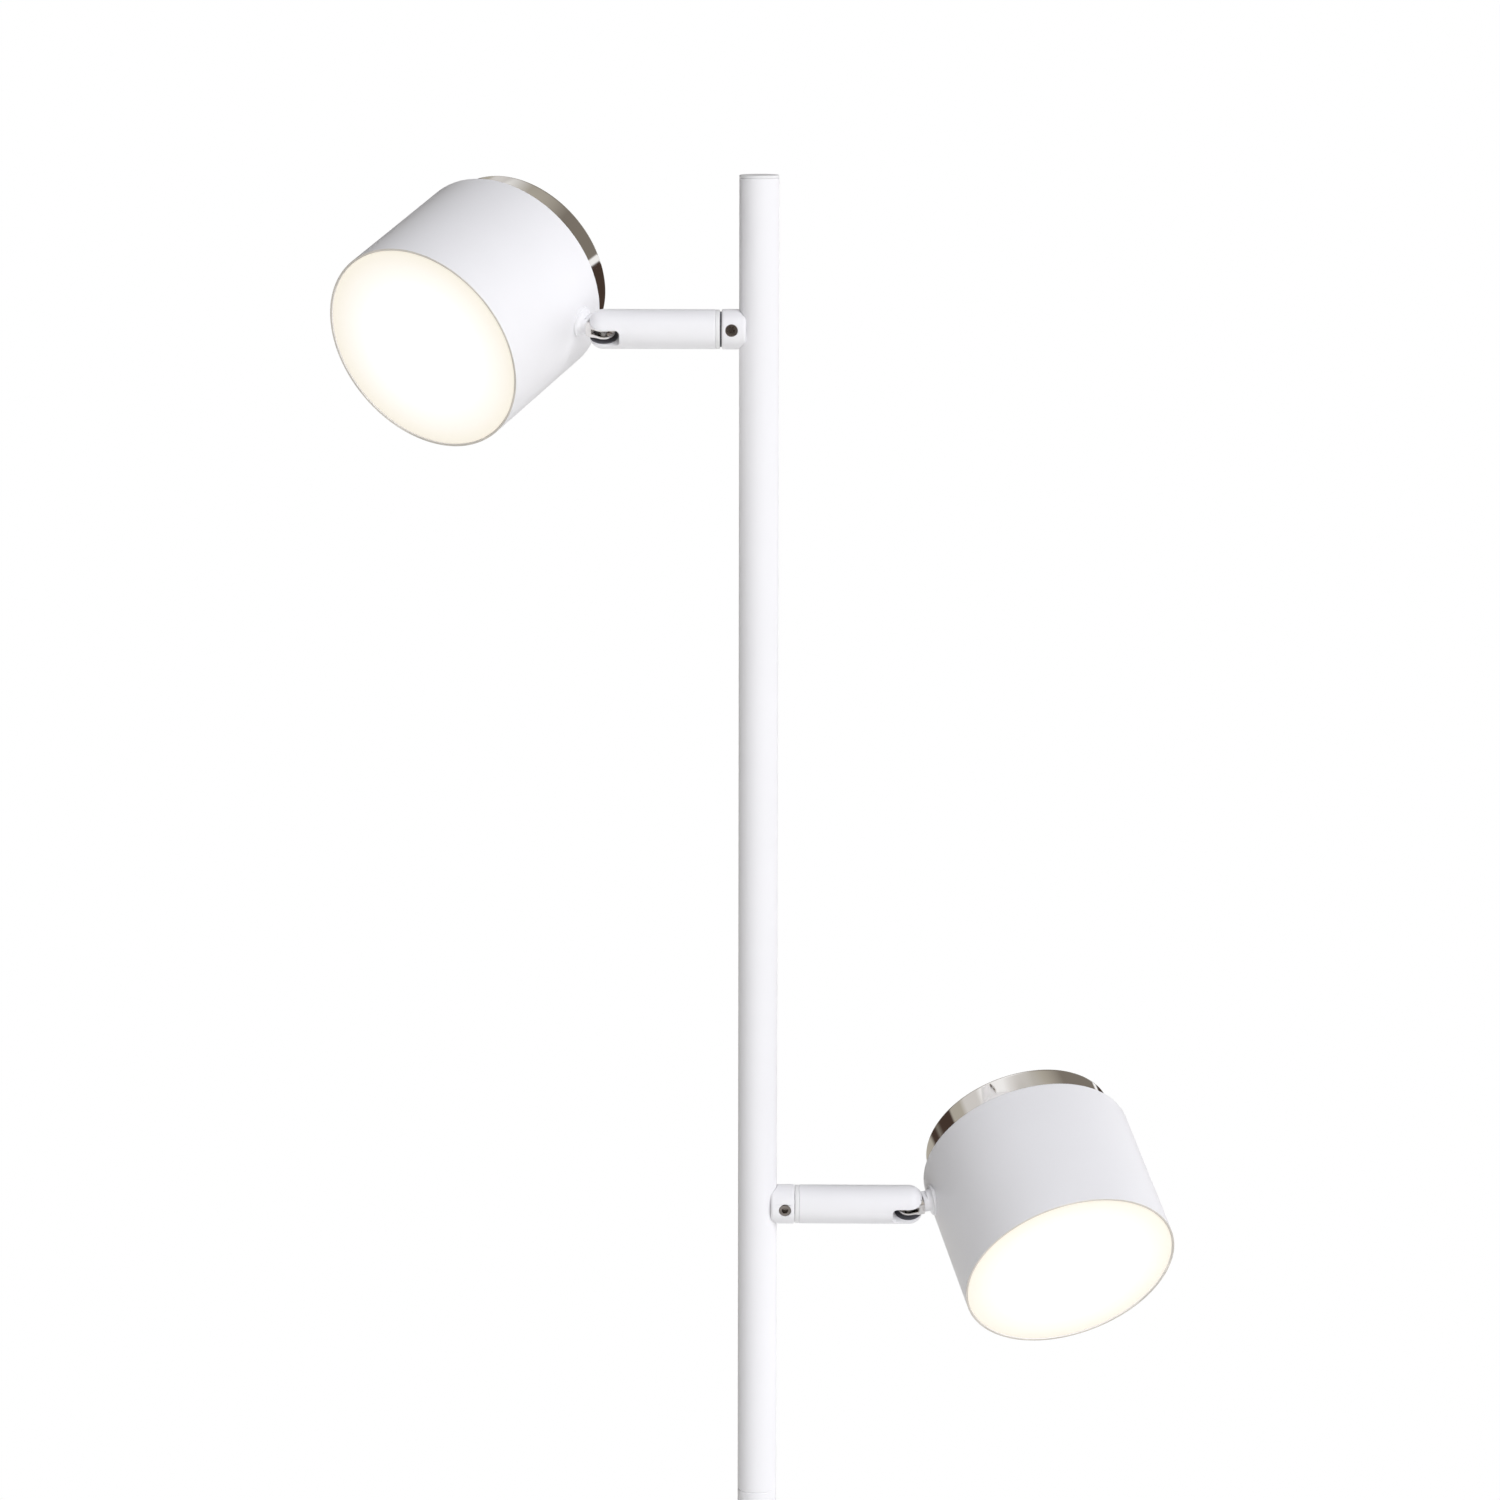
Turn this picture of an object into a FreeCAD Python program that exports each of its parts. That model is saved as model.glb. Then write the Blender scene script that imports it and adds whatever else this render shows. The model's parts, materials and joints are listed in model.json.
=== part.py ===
import FreeCAD, Part
import math
import os
import re
import Sketcher

# A floor lamp with two spots on one slim pole. Z is up, the pole stands on the Z axis and the
# lamp rests on Z = 0. The viewer stands on the -Y side. All sizes are millimetres and degrees.

SIZES = (
    # the foot
    ("base_diameter", 240.0, "outside of the foot's cover"),
    ("base_height", 24.0, "floor to the top of the cover"),
    ("base_edge_radius", 6.0, "rounding of the cover's upper edge"),
    ("cover_wall", 1.2, "pressed steel of the cover"),
    ("skirt_gap", 1.5, "floor to the cover's lower rim"),
    ("pad_thickness", 3.0, "foam disc under the weight"),
    ("pad_inset", 3.0, "weight's edge to the pad's edge"),
    ("weight_diameter", 200.0, "cast-iron disc"),
    ("weight_gap", 0.2, "top of the weight to the cover"),
    ("recess_diameter", 30.0, "hollow round the foot's nut"),
    ("recess_roof", 6.0, "iron left above that hollow"),
    ("channel_width", 9.0, "cable channel under the weight"),
    ("channel_depth", 8.5, "cable channel under the weight"),
    ("casting_edge", 2.0, "rounding of the casting's edges"),
    ("well_margin", 2.0, "block to the well's sides"),
    ("block_length", 22.0, "terminal block, across"),
    ("block_width", 16.0, "terminal block, front to back"),
    ("block_height", 10.0, "terminal block"),
    ("block_edge", 1.0, "rounding of its upright edges"),
    ("block_offset", 46.0, "pole's axis to the block's middle"),
    ("terminal_spacing", 12.0, "between the block's two clamp screws"),
    ("terminal_bore", 3.6, "screw wells under the block"),
    ("terminal_depth", 6.0, "depth of those wells"),
    ("entry_depth", 3.0, "cable entries in the block's sides"),
    ("entry_play", 0.2, "cable to its entry's wall"),
    ("inlet_height", 8.5, "floor to the cord inlet's axis"),
    ("inlet_bore", 6.0, "hole for a mains cord"),
    ("inlet_wall", 1.6, "wall of the inlet bush"),
    ("inlet_flange", 2.0, "thickness and overhang of its collar"),
    ("inlet_tail", 5.0, "bush inside the cover's wall"),
    ("base_nut_width", 17.0, "across the flats"),
    ("base_nut_height", 4.0, "height of the foot's nut"),
    ("base_nut_flange", 22.0, "diameter of the nut's flange"),
    ("base_nut_rim", 1.2, "thickness of that flange"),
    ("nipple_tail", 0.6, "hollow stud past the foot's nut"),
    # the pole
    ("pole_diameter", 16.0, "outside of the tube"),
    ("pole_wall", 1.2, "tube wall"),
    ("section_length", 544.0, "each of the three sections"),
    ("section_chamfer", 0.3, "broken edge at each section's ends"),
    ("cap_thickness", 1.2, "disc on top of the pole"),
    ("cap_edge_radius", 0.5, "rounding of that disc"),
    ("cap_stem", 8.0, "plug inside the tube"),
    ("cap_stem_wall", 1.5, "wall of that plug"),
    ("insert_length", 12.0, "threaded rings in the tube ends"),
    ("nipple_diameter", 10.0, "hollow studs between the sections"),
    ("nipple_bore", 7.2, "cable way through them"),
    ("nipple_grip", 10.0, "thread in each ring"),
    # fits
    ("press_gap", 0.02, "radial gap of pressed and screwed pieces"),
    ("running_gap", 0.05, "radial gap of a shaft that turns"),
    ("small_edge", 0.3, "rounding of small turned pieces"),
    ("seat_gap", 0.05, "gap of pieces that lie on each other"),
    ("face_gap", 0.1, "gap of flat faces that turn on each other"),
    # the couplers, the studs and their screws
    ("upper_drop", 61.8, "pole's top to the upper arm's axis"),
    ("lower_drop", 422.6, "pole's top to the lower arm's axis"),
    ("coupler_diameter", 16.2, "socket on the pole"),
    ("coupler_length", 9.8, "along the arm"),
    ("coupler_edge", 1.0, "rounding of its edges"),
    ("upper_coupler_start", 5.2, "pole's axis to the upper coupler's trimmed tip"),
    ("lower_coupler_start", 5.6, "pole's axis to the lower coupler's trimmed tip"),
    ("stud_diameter", 8.0, "hollow stud that the arm turns on"),
    ("stud_bore", 5.0, "cable way through it"),
    ("stud_head_diameter", 9.6, "its head inside the pole"),
    ("stud_head_height", 2.2, "head, measured from the tube's inner wall"),
    ("stud_tail", 1.0, "stud past its nut"),
    ("set_screw_diameter", 5.0, "hex-socket screw in the coupler"),
    ("set_screw_place", 5.8, "coupler's tip to the screw's axis"),
    ("set_screw_sink", 0.5, "screw below the coupler's surface"),
    ("set_screw_socket", 2.5, "socket, across the flats"),
    ("set_screw_socket_depth", 2.0, "socket depth"),
    ("upper_screw_angle", 0.0, "screw's turn below the level, upper coupler"),
    ("lower_screw_angle", 7.5, "screw's turn below the level, lower coupler"),
    ("spring_washer_height", 1.0, "washer between the bush and the nut"),
    ("spring_washer_diameter", 11.4, "outside of that washer"),
    ("stud_nut_width", 10.0, "across the flats"),
    ("stud_nut_height", 3.6, "nut on the stud"),
    # the arms
    ("upper_swivel_gap", 0.7, "coupler to the thin ring, upper arm"),
    ("lower_swivel_gap", 0.15, "coupler to the thin ring, lower arm"),
    ("shim_diameter", 14.2, "outside of the shim in that gap"),
    ("bush_flange", 1.7, "thin ring between coupler and arm"),
    ("bush_diameter", 15.8, "outside of that ring"),
    ("bush_edge", 0.35, "rounding of that ring"),
    ("bush_spigot", 5.0, "bush inside the arm"),
    ("arm_diameter", 16.0, "round bar"),
    ("arm_length", 50.8, "thin ring to the rounded end"),
    ("arm_edge", 0.4, "rounding at the ring"),
    ("arm_end_radius", 5.5, "rounding of the far end"),
    ("arm_bore", 12.4, "hollow round the nut"),
    ("arm_bore_depth", 14.0, "that hollow from the ring"),
    ("lead_bore", 4.0, "lead way to the slot"),
    ("slot_width", 7.0, "between the two ears"),
    ("slot_depth", 12.2, "from the arm's far end"),
    ("slot_corner", 1.8, "rounding of the slot's inner end"),
    ("pivot_setback", 5.8, "arm's far end to the tilt axis"),
    ("friction_thickness", 0.5, "friction washers at the tongue"),
    ("friction_diameter", 8.4, "outside of those washers"),
    ("tilt_screw_diameter", 3.0, "shoulder screw across the slot"),
    ("tilt_head_diameter", 5.6, "its head"),
    ("tilt_head_height", 1.8, "its head"),
    ("tilt_head_sink", 0.9, "head below the arm's surface"),
    ("tilt_drive", 0.9, "width and depth of the head's slot"),
    ("tilt_grip", 2.8, "thread in the far ear"),
    ("tilt_hole_end", 0.3, "hole past the screw's end"),
    # the knuckle
    ("tongue_width", 9.0, "chrome tongue, across the slot's plane"),
    ("tongue_reach", 6.0, "tilt axis to the flange"),
    ("groove_width", 2.2, "lead way between the tongue's cheeks"),
    ("groove_end", 3.4, "groove past the tilt axis"),
    ("stem_diameter", 5.0, "hole fit of the tongue's threaded stem"),
    ("stem_relief", 0.1, "stem's thread below that fit, radial"),
    ("stem_bore", 2.6, "lead way through the stem"),
    ("stem_tail", 1.2, "stem past its nut"),
    ("neck_flange_diameter", 12.4, "seat on the shell"),
    ("neck_flange_rim", 0.9, "rim of that seat"),
    ("neck_flare", 1.8, "hollow curve from the neck to the rim"),
    ("neck_diameter", 8.6, "seat's end at the tongue"),
    ("neck_round_reach", 7.6, "tilt axis to the part that is too thick for the slot"),
    ("neck_foot_gap", 0.15, "seat's flat-sided foot to the slot's walls"),
    ("neck_nut_width", 10.0, "across the flats"),
    ("neck_nut_height", 3.0, "nut inside the shell"),
    # the spot
    ("shell_diameter", 89.0, "outside of the drum"),
    ("neck_length", 10.5, "tilt axis to the drum's side"),
    ("shell_wall", 1.0, "drum wall"),
    ("front_reach", 49.0, "neck's axis to the front rim"),
    ("shell_length", 63.2, "front rim to the drum's rear"),
    ("shell_rear_radius", 0.9, "rounding of the drum's rear edge"),
    ("shell_rim_edge", 0.25, "rounding of the front rim"),
    ("rear_step", 4.5, "drum's side to the side of the chrome cup"),
    ("rear_cover_length", 12.2, "cup behind the drum"),
    ("rear_cover_wall", 0.8, "cup wall"),
    ("rear_cover_radius", 1.5, "rounding of the cup's edge"),
    ("rear_cover_lip", 1.2, "cup's lip inside the drum"),
    ("diffuser_thickness", 2.0, "opal disc"),
    ("diffuser_sink", 0.3, "disc below the front rim"),
    ("diffuser_skirt", 7.5, "disc's rim, front to back"),
    ("diffuser_skirt_wall", 1.5, "wall of that rim"),
    ("diffuser_edge", 0.6, "rounding of the disc's edge"),
    ("plate_depth", 32.0, "front rim to the heat sink's face"),
    ("plate_thickness", 2.5, "heat sink's plate"),
    ("plate_rim_length", 9.5, "heat sink's rim, front to back"),
    ("plate_rim_wall", 1.5, "heat sink's rim"),
    ("fin_count", 9, "ribs behind the heat sink"),
    ("fin_thickness", 1.6, "each rib"),
    ("fin_height", 5.5, "each rib"),
    ("fin_start", 9.0, "spot's axis to the ribs"),
    ("fin_end", 8.5, "drum's wall to the ribs' outer ends"),
    ("board_inset", 9.5, "drum's wall to the LED board's edge"),
    ("board_thickness", 1.6, "LED board"),
    ("chip_size", 3.0, "LED chip"),
    ("chip_height", 0.7, "LED chip"),
    ("chip_inner_radius", 10.0, "inner circle of chips"),
    ("chip_outer_inset", 8.0, "board's edge to the outer circle of chips"),
    ("board_screw_inset", 16.0, "board's edge to the circle of its screws"),
    ("board_screw_angle", 50.0, "first screw's place on that circle"),
    ("board_screw_diameter", 3.0, "board screws"),
    ("board_screw_head", 5.5, "their heads"),
    ("board_screw_head_height", 1.8, "their heads"),
    ("heat_sink_edge", 0.5, "rounding of the heat sink's face"),
    ("reflector_wall", 1.0, "white cone"),
    ("reflector_clearance", 1.5, "board's edge to the cone"),
    ("driver_length", 54.0, "potted driver, across"),
    ("driver_width", 38.0, "potted driver"),
    ("driver_height", 15.0, "potted driver"),
    ("driver_corner", 3.0, "rounding of its upright edges"),
    # cables
    ("cable_diameter", 3.2, "two-core cable in the pole"),
    ("cable_spacing", 3.5, "between the two cables"),
    ("cable_bend", 6.0, "bend under the foot's nut"),
    ("cable_sweep", 60.0, "wide bends inside the tube"),
    ("cable_step", 15.0, "seam to the upper cable's step aside"),
    ("cable_shift", 25.0, "height over which it steps aside"),
    ("cable_rise", 25.0, "height over which a cable comes round to its stud"),
    ("cable_last", 25.0, "straight run below a stud"),
    ("cable_swing", 4.4, "cable's distance from the pole's axis near a stud"),
    ("cable_turn", 8.0, "bend into a stud"),
    ("lead_diameter", 1.9, "twin lead in the arm and the spot"),
    ("lead_turn", 7.0, "bend of the lead inside the spot"),
    ("lead_gap", 0.6, "lead's end to the pieces that turn past it"),
    ("board_lead_place", 5.0, "spot's axis to the board's lead"),
    # how the lamp stands in its stored pose
    ("upper_swivel", 28.0, "upper spot aimed below the level"),
    ("lower_swivel", 30.5, "lower spot aimed below the level"),
    ("upper_tilt", 30.0, "upper neck turned back from its arm's line"),
    ("lower_tilt", 15.2, "lower neck turned back from its arm's line"),
    ("upper_twist", 0.0, "upper spot turned on its neck"),
    ("lower_twist", 6.5, "lower spot turned on its neck"),
)

SIDES = ("upper", "lower")
INNER_CHIP_COUNT = 6
OUTER_CHIP_COUNT = 12
BOARD_SCREW_COUNT = 3

ALIASES = {alias for alias, _, _ in SIZES}
Vector = FreeCAD.Vector

document = FreeCAD.newDocument("pole_floor_lamp")
sheet = document.addObject("Spreadsheet::Sheet", "sizes")
nodes = {}


def fill_sheet():
    """Write each driving size to a cell with its own alias."""
    for row, (alias, number, meaning) in enumerate(SIZES, start=1):
        sheet.set(f"A{row}", meaning)
        sheet.set(f"B{row}", str(number))
        sheet.setAlias(f"B{row}", alias)
    document.recompute()


def bound(text):
    """Point each size's name in text at its cell of the sheet."""
    return re.sub(r"[a-z_]+", lambda word: "sizes." + word[0] if word[0] in ALIASES else word[0], text)


def value(text):
    """Work out an expression of sizes as a number."""
    return float(sheet.evalExpression(bound(text)))


# ---------------------------------------------------------------- helpers for bodies and sketches


def new_body(name, kept=True):
    """Start a body. A kept body becomes a node of the lamp."""
    body = document.addObject("PartDesign::Body", name)
    body.Label = name
    if kept:
        nodes[name] = body
    return body


def new_sketch(body, role, height="0", turn=0.0):
    """Attach a sketch to an origin plane, parallel to it at a height or turned about its own Y."""
    sketch = body.newObject("Sketcher::SketchObject", body.Name + "_sketch")
    plane = next(item for item in body.Origin.OriginFeatures if item.Role == role)
    sketch.AttachmentSupport = [(plane, "")]
    sketch.MapMode = "FlatFace"
    sketch.AttachmentOffset = FreeCAD.Placement(Vector(), FreeCAD.Rotation(Vector(0, 1, 0), turn))
    if height != "0":
        sketch.setExpression(".AttachmentOffset.Base.z", bound(height))
    return sketch


def pin_point(sketch, geometry, point, x_text, y_text):
    """Hold a sketch point at a place written as sizes."""
    for kind, text, axis in (("DistanceX", x_text, -2), ("DistanceY", y_text, -1)):
        if text == "0":
            sketch.addConstraint(Sketcher.Constraint("PointOnObject", geometry, point, axis))
        else:
            rule = Sketcher.Constraint(kind, -1, 1, geometry, point, value(text))
            index = sketch.addConstraint(rule)
            sketch.setExpression(f"Constraints[{index}]", bound(text))


def add_rounding(sketch, corner, before, after, lines, text):
    """Round the corner between two lines of an outline with an arc that touches both."""
    radius = value(text)
    arriving = (corner - before).normalize()
    leaving = (after - corner).normalize()
    left_turn = arriving.cross(leaving).z > 0
    half_turn = arriving.getAngle(leaving) / 2
    reach = radius * math.tan(half_turn)
    normal = Vector(-arriving.y, arriving.x, 0) * (1 if left_turn else -1)
    centre = corner - arriving * reach + normal * radius
    start = corner - arriving * reach - centre
    end = corner + leaving * reach - centre
    if not left_turn:
        start, end = end, start
    start_angle = math.atan2(start.y, start.x)
    end_angle = math.atan2(end.y, end.x)
    if end_angle < start_angle:
        end_angle += 2 * math.pi
    circle = Part.Circle(centre, Vector(0, 0, 1), radius)
    arc = sketch.addGeometry(Part.ArcOfCircle(circle, start_angle, end_angle))
    first, second = (1, 2) if left_turn else (2, 1)
    sketch.addConstraint(Sketcher.Constraint("Tangent", lines[0], 2, arc, first))
    sketch.addConstraint(Sketcher.Constraint("Tangent", arc, second, lines[1], 1))
    index = sketch.addConstraint(Sketcher.Constraint("Radius", arc, radius))
    sketch.setExpression(f"Constraints[{index}]", bound(text))


def draw_outline(sketch, corners):
    """Draw a closed outline of (x, y) or (x, y, rounding) corners, each written as sizes."""
    places = [Vector(value(corner[0]), value(corner[1]), 0) for corner in corners]
    reaches = []
    for index, corner in enumerate(corners):
        reach = 0.0
        if len(corner) == 3:
            arriving = places[index] - places[index - 1]
            leaving = places[(index + 1) % len(places)] - places[index]
            reach = value(corner[2]) * math.tan(arriving.getAngle(leaving) / 2)
        reaches.append(reach)
    lines = []
    for index, place in enumerate(places):
        following = (index + 1) % len(places)
        along = (places[following] - place).normalize()
        start = place + along * reaches[index]
        end = places[following] - along * reaches[following]
        lines.append(sketch.addGeometry(Part.LineSegment(start, end)))
    for index, corner in enumerate(corners):
        before, after = lines[index - 1], lines[index]
        if len(corner) == 3:
            tip = sketch.addGeometry(Part.Point(places[index]), True)
            sketch.addConstraint(Sketcher.Constraint("PointOnObject", tip, 1, before))
            sketch.addConstraint(Sketcher.Constraint("PointOnObject", tip, 1, after))
            pin_point(sketch, tip, 1, corner[0], corner[1])
            following = places[(index + 1) % len(places)]
            add_rounding(sketch, places[index], places[index - 1], following, (before, after), corner[2])
        else:
            sketch.addConstraint(Sketcher.Constraint("Coincident", before, 2, after, 1))
            pin_point(sketch, after, 1, corner[0], corner[1])


def draw_circle(sketch, diameter, x_text="0", y_text="0"):
    """Draw a circle whose diameter and centre are written as sizes."""
    centre = Vector(value(x_text), value(y_text), 0)
    circle = sketch.addGeometry(Part.Circle(centre, Vector(0, 0, 1), value(diameter) / 2))
    index = sketch.addConstraint(Sketcher.Constraint("Diameter", circle, value(diameter)))
    sketch.setExpression(f"Constraints[{index}]", bound(diameter))
    pin_point(sketch, circle, 3, x_text, y_text)


def rectangle(width, depth, x_text="0", y_text="0", rounding=None):
    """Return the corners of a rectangle about a centre, all written as sizes."""
    tail = () if rounding is None else (rounding,)
    signs = ((-1, -1), (1, -1), (1, 1), (-1, 1))
    corners = []
    for x_sign, y_sign in signs:
        x_corner = f"{x_text} {'+' if x_sign > 0 else '-'} ({width}) / 2"
        y_corner = f"{y_text} {'+' if y_sign > 0 else '-'} ({depth}) / 2"
        corners.append((x_corner, y_corner, *tail))
    return corners


def hexagon(width):
    """Return the corners of a hexagon of a width across the flats."""
    corners = []
    for step in range(6):
        x_part = math.cos(math.radians(60 * step))
        y_part = math.sin(math.radians(60 * step))
        radius = f"{width} / sqrt(3)"
        corners.append((f"{x_part:.9f} * {radius}", f"{y_part:.9f} * {radius} + 0 * {width}"))
    return corners


def turned(name, corners, kept=True):
    """Turn an outline of (radius, height) corners about Z into a body."""
    body = new_body(name, kept)
    sketch = new_sketch(body, "XZ_Plane")
    draw_outline(sketch, corners)
    feature = body.newObject("PartDesign::Revolution", name + "_turned")
    feature.Profile = sketch
    feature.ReferenceAxis = (sketch, ["V_Axis"])
    feature.Angle = 360
    return body


def extrude(body, sketch, length, kind="Pad", both=False, reverse=False):
    """Pad or pocket a sketch by a length written as sizes."""
    feature = body.newObject("PartDesign::" + kind, f"{body.Name}_{kind.lower()}")
    feature.Profile = sketch
    feature.setExpression("Length", bound(length))
    feature.Reversed = reverse
    if both:
        feature.SideType = "Symmetric"
    return feature


def cut(body, role, draw, length, height="0", both=False, reverse=False, turn=0.0):
    """Pocket what draw puts on a plane, and check that it took something away."""
    document.recompute()
    before = body.Shape.Volume
    sketch = new_sketch(body, role, height, turn)
    draw(sketch)
    feature = extrude(body, sketch, length, "Pocket", both, reverse)
    document.recompute()
    if not body.Shape.Volume < before - 1e-6:
        raise ValueError(f"{body.Label}: a pocket takes nothing away")
    return feature


def group(name, bodies):
    """Keep several separate solids as one node."""
    document.recompute()
    feature = document.addObject("Part::Feature", name)
    feature.Label = name
    feature.Shape = Part.makeCompound([body.Shape.copy() for body in bodies])
    nodes[name] = feature
    return feature


def repeat(name, body, placements):
    """Keep copies of one body at several placements as one node."""
    document.recompute()
    copies = []
    for placement in placements:
        shape = body.Shape.copy()
        shape.Placement = placement.multiply(shape.Placement)
        copies.append(shape)
    feature = document.addObject("Part::Feature", name)
    feature.Label = name
    feature.Shape = Part.makeCompound(copies)
    nodes[name] = feature
    return feature


# ---------------------------------------------------------------- places of the lamp

POLE_TOP = "(base_height + 3 * section_length)"
SPOT_OFFSET = "(neck_length + shell_diameter / 2)"
INSIDE = "(shell_diameter / 2 - shell_wall)"
CUP_RADIUS = "(shell_diameter / 2 - rear_step)"
BOARD_RADIUS = f"({INSIDE} - board_inset)"
CONE_FOOT = f"({BOARD_RADIUS} + reflector_clearance)"
CHIP_OUTER_RADIUS = f"({BOARD_RADIUS} - chip_outer_inset)"
BOARD_SCREW_RADIUS = f"({BOARD_RADIUS} - board_screw_inset)"


def facing(origin, x_axis, z_axis):
    """Return the placement at origin that turns X to x_axis and Z to z_axis."""
    rotation = FreeCAD.Rotation(x_axis, z_axis.cross(x_axis), z_axis, "ZXY")
    return FreeCAD.Placement(origin, rotation)


def shifted(frame, distance):
    """Move a placement along its own Z."""
    return frame.multiply(FreeCAD.Placement(Vector(0, 0, distance), FreeCAD.Rotation()))


def along_arm(side, place):
    """Write a place along an arm, measured from the pole's axis."""
    stack = [f"{side}_coupler_start", "coupler_length", f"{side}_swivel_gap", "bush_flange", "arm_length"]
    counts = {"coupler_end": 2, "bush": 3, "arm": 4, "arm_end": 5}
    text = " + ".join(stack[: counts.get(place, 5)])
    if place == "pivot":
        text += " - pivot_setback"
    return f"({text})"


def arm_axis(side):
    """Return the point on the pole's axis at an arm's height, and the arm's direction."""
    height = value(f"{POLE_TOP} - {side}_drop")
    direction = Vector(-1 if side == "upper" else 1, 0, 0)
    return Vector(0, 0, height), direction


def aim(side):
    """Return the direction in the slot's plane, square to the arm, to which the spot faces."""
    swivel = math.radians(value(f"{side}_swivel"))
    return Vector(0, -math.cos(swivel), -math.sin(swivel))


def coupler_frame(side):
    """Z runs out along the arm and X faces the viewer."""
    origin, direction = arm_axis(side)
    return facing(origin, Vector(0, -1, 0), direction)


def arm_frame(side):
    """Z runs out along the arm and Y leaves the upper ear, square to the slot."""
    origin, direction = arm_axis(side)
    sign = -1 if side == "lower" else 1
    return facing(origin, aim(side) * sign, direction)


def neck_direction(side):
    """Return the direction of the neck and that of the tongue's front, from the tilt."""
    tilt = math.radians(value(f"{side}_tilt"))
    _, direction = arm_axis(side)
    forward = aim(side)
    neck = direction * math.cos(tilt) - forward * math.sin(tilt)
    front = forward * math.cos(tilt) + direction * math.sin(tilt)
    return neck, front


def pivot_point(side):
    origin, direction = arm_axis(side)
    return origin + direction * value(along_arm(side, "pivot"))


def tongue_frame(side):
    """Z runs along the neck and X to the tongue's front."""
    neck, front = neck_direction(side)
    return facing(pivot_point(side), front, neck)


def spot_front(side):
    """Return the direction that the spot faces."""
    neck, front = neck_direction(side)
    twist = math.radians(value(f"{side}_twist"))
    return front * math.cos(twist) + neck.cross(front) * math.sin(twist)


def neck_frame(side):
    """Z runs along the neck and X the way that the spot faces."""
    neck, _ = neck_direction(side)
    return facing(pivot_point(side), spot_front(side), neck)


def head_frame(side):
    """Z is the spot's axis, towards the front, and X runs away from the arm."""
    neck, _ = neck_direction(side)
    origin = pivot_point(side) + neck * value(SPOT_OFFSET)
    return facing(origin, neck, spot_front(side))


def place(body, frame, distance=0.0):
    """Put a body in a frame, moved along the frame's Z."""
    body.Placement = shifted(frame, distance)
    return body


# ---------------------------------------------------------------- the foot

WEIGHT_TOP = "(base_height - cover_wall - weight_gap)"
RECESS_TOP = f"({WEIGHT_TOP} - recess_roof)"
NIPPLE_FOOT = f"({RECESS_TOP} - base_nut_height - nipple_tail)"
RUN_HEIGHT = f"({NIPPLE_FOOT} - cable_bend)"
BLOCK_FACE = "(block_offset - block_width / 2)"


def make_base_cover():
    inner_radius = "base_edge_radius - cover_wall"
    body = turned("base_cover", [
        ("nipple_diameter / 2 + running_gap", "base_height - cover_wall"),
        ("base_diameter / 2 - cover_wall", "base_height - cover_wall", inner_radius),
        ("base_diameter / 2 - cover_wall", "skirt_gap"),
        ("base_diameter / 2", "skirt_gap"),
        ("base_diameter / 2", "base_height", "base_edge_radius"),
        ("nipple_diameter / 2 + running_gap", "base_height"),
    ])
    cut(body, "XZ_Plane", lambda sketch: draw_circle(
        sketch, "inlet_bore + 2 * inlet_wall + 2 * seat_gap", "0", "inlet_height"),
        "base_diameter", reverse=False)


def make_base_weight():
    body = turned("base_weight", [
        ("nipple_diameter / 2 + running_gap", RECESS_TOP),
        ("recess_diameter / 2", RECESS_TOP),
        ("recess_diameter / 2", "pad_thickness"),
        ("weight_diameter / 2", "pad_thickness"),
        ("weight_diameter / 2", WEIGHT_TOP, "casting_edge"),
        ("nipple_diameter / 2 + running_gap", WEIGHT_TOP),
    ])
    channel_length = "weight_diameter / 2 + casting_edge"
    cut(body, "XY_Plane", lambda sketch: draw_outline(sketch, rectangle(
        "channel_width", channel_length, "0", f"({channel_length}) / 2")),
        "channel_depth", "pad_thickness", reverse=True)
    cut(body, "XY_Plane", lambda sketch: draw_outline(sketch, rectangle(
        "block_length + 2 * well_margin", "block_width + 2 * well_margin", "0", "block_offset",
        "casting_edge")),
        "block_height + 2 * seat_gap", "pad_thickness", reverse=True)


def make_base_pad():
    turned("base_pad", [
        ("0", "0"),
        ("weight_diameter / 2 - pad_inset", "0", "pad_thickness / 3"),
        ("weight_diameter / 2 - pad_inset", "pad_thickness"),
        ("0", "pad_thickness"),
    ])


def make_base_nut():
    """A hex nut with a round flange that bears on the roof of the hollow."""
    body = new_body("base_nut")
    sketch = new_sketch(body, "XY_Plane", f"{RECESS_TOP} - base_nut_height")
    draw_outline(sketch, hexagon("base_nut_width"))
    extrude(body, sketch, "base_nut_height")
    sketch = new_sketch(body, "XY_Plane", f"{RECESS_TOP} - base_nut_rim")
    draw_circle(sketch, "base_nut_flange")
    extrude(body, sketch, "base_nut_rim")
    cut(body, "XY_Plane", lambda sketch: draw_circle(sketch, "nipple_diameter + 2 * press_gap"),
        "base_height", reverse=True)


def make_cable_inlet():
    """The bush sits in the cover's rear wall, on the +Y side, with its axis along Y."""
    outer = "inlet_bore / 2 + inlet_wall"
    face = "2 * seat_gap"
    body = turned("cable_inlet", [
        ("inlet_bore / 2", "0 - cover_wall - inlet_tail"),
        (outer, "0 - cover_wall - inlet_tail", "small_edge"),
        (outer, face),
        (f"{outer} + inlet_flange", face),
        (f"{outer} + inlet_flange", f"{face} + inlet_flange", "inlet_flange / 2"),
        ("inlet_bore / 2", f"{face} + inlet_flange"),
    ])
    wall = Vector(0, value("base_diameter / 2"), value("inlet_height"))
    place(body, facing(wall, Vector(1, 0, 0), Vector(0, 1, 0)))


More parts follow.
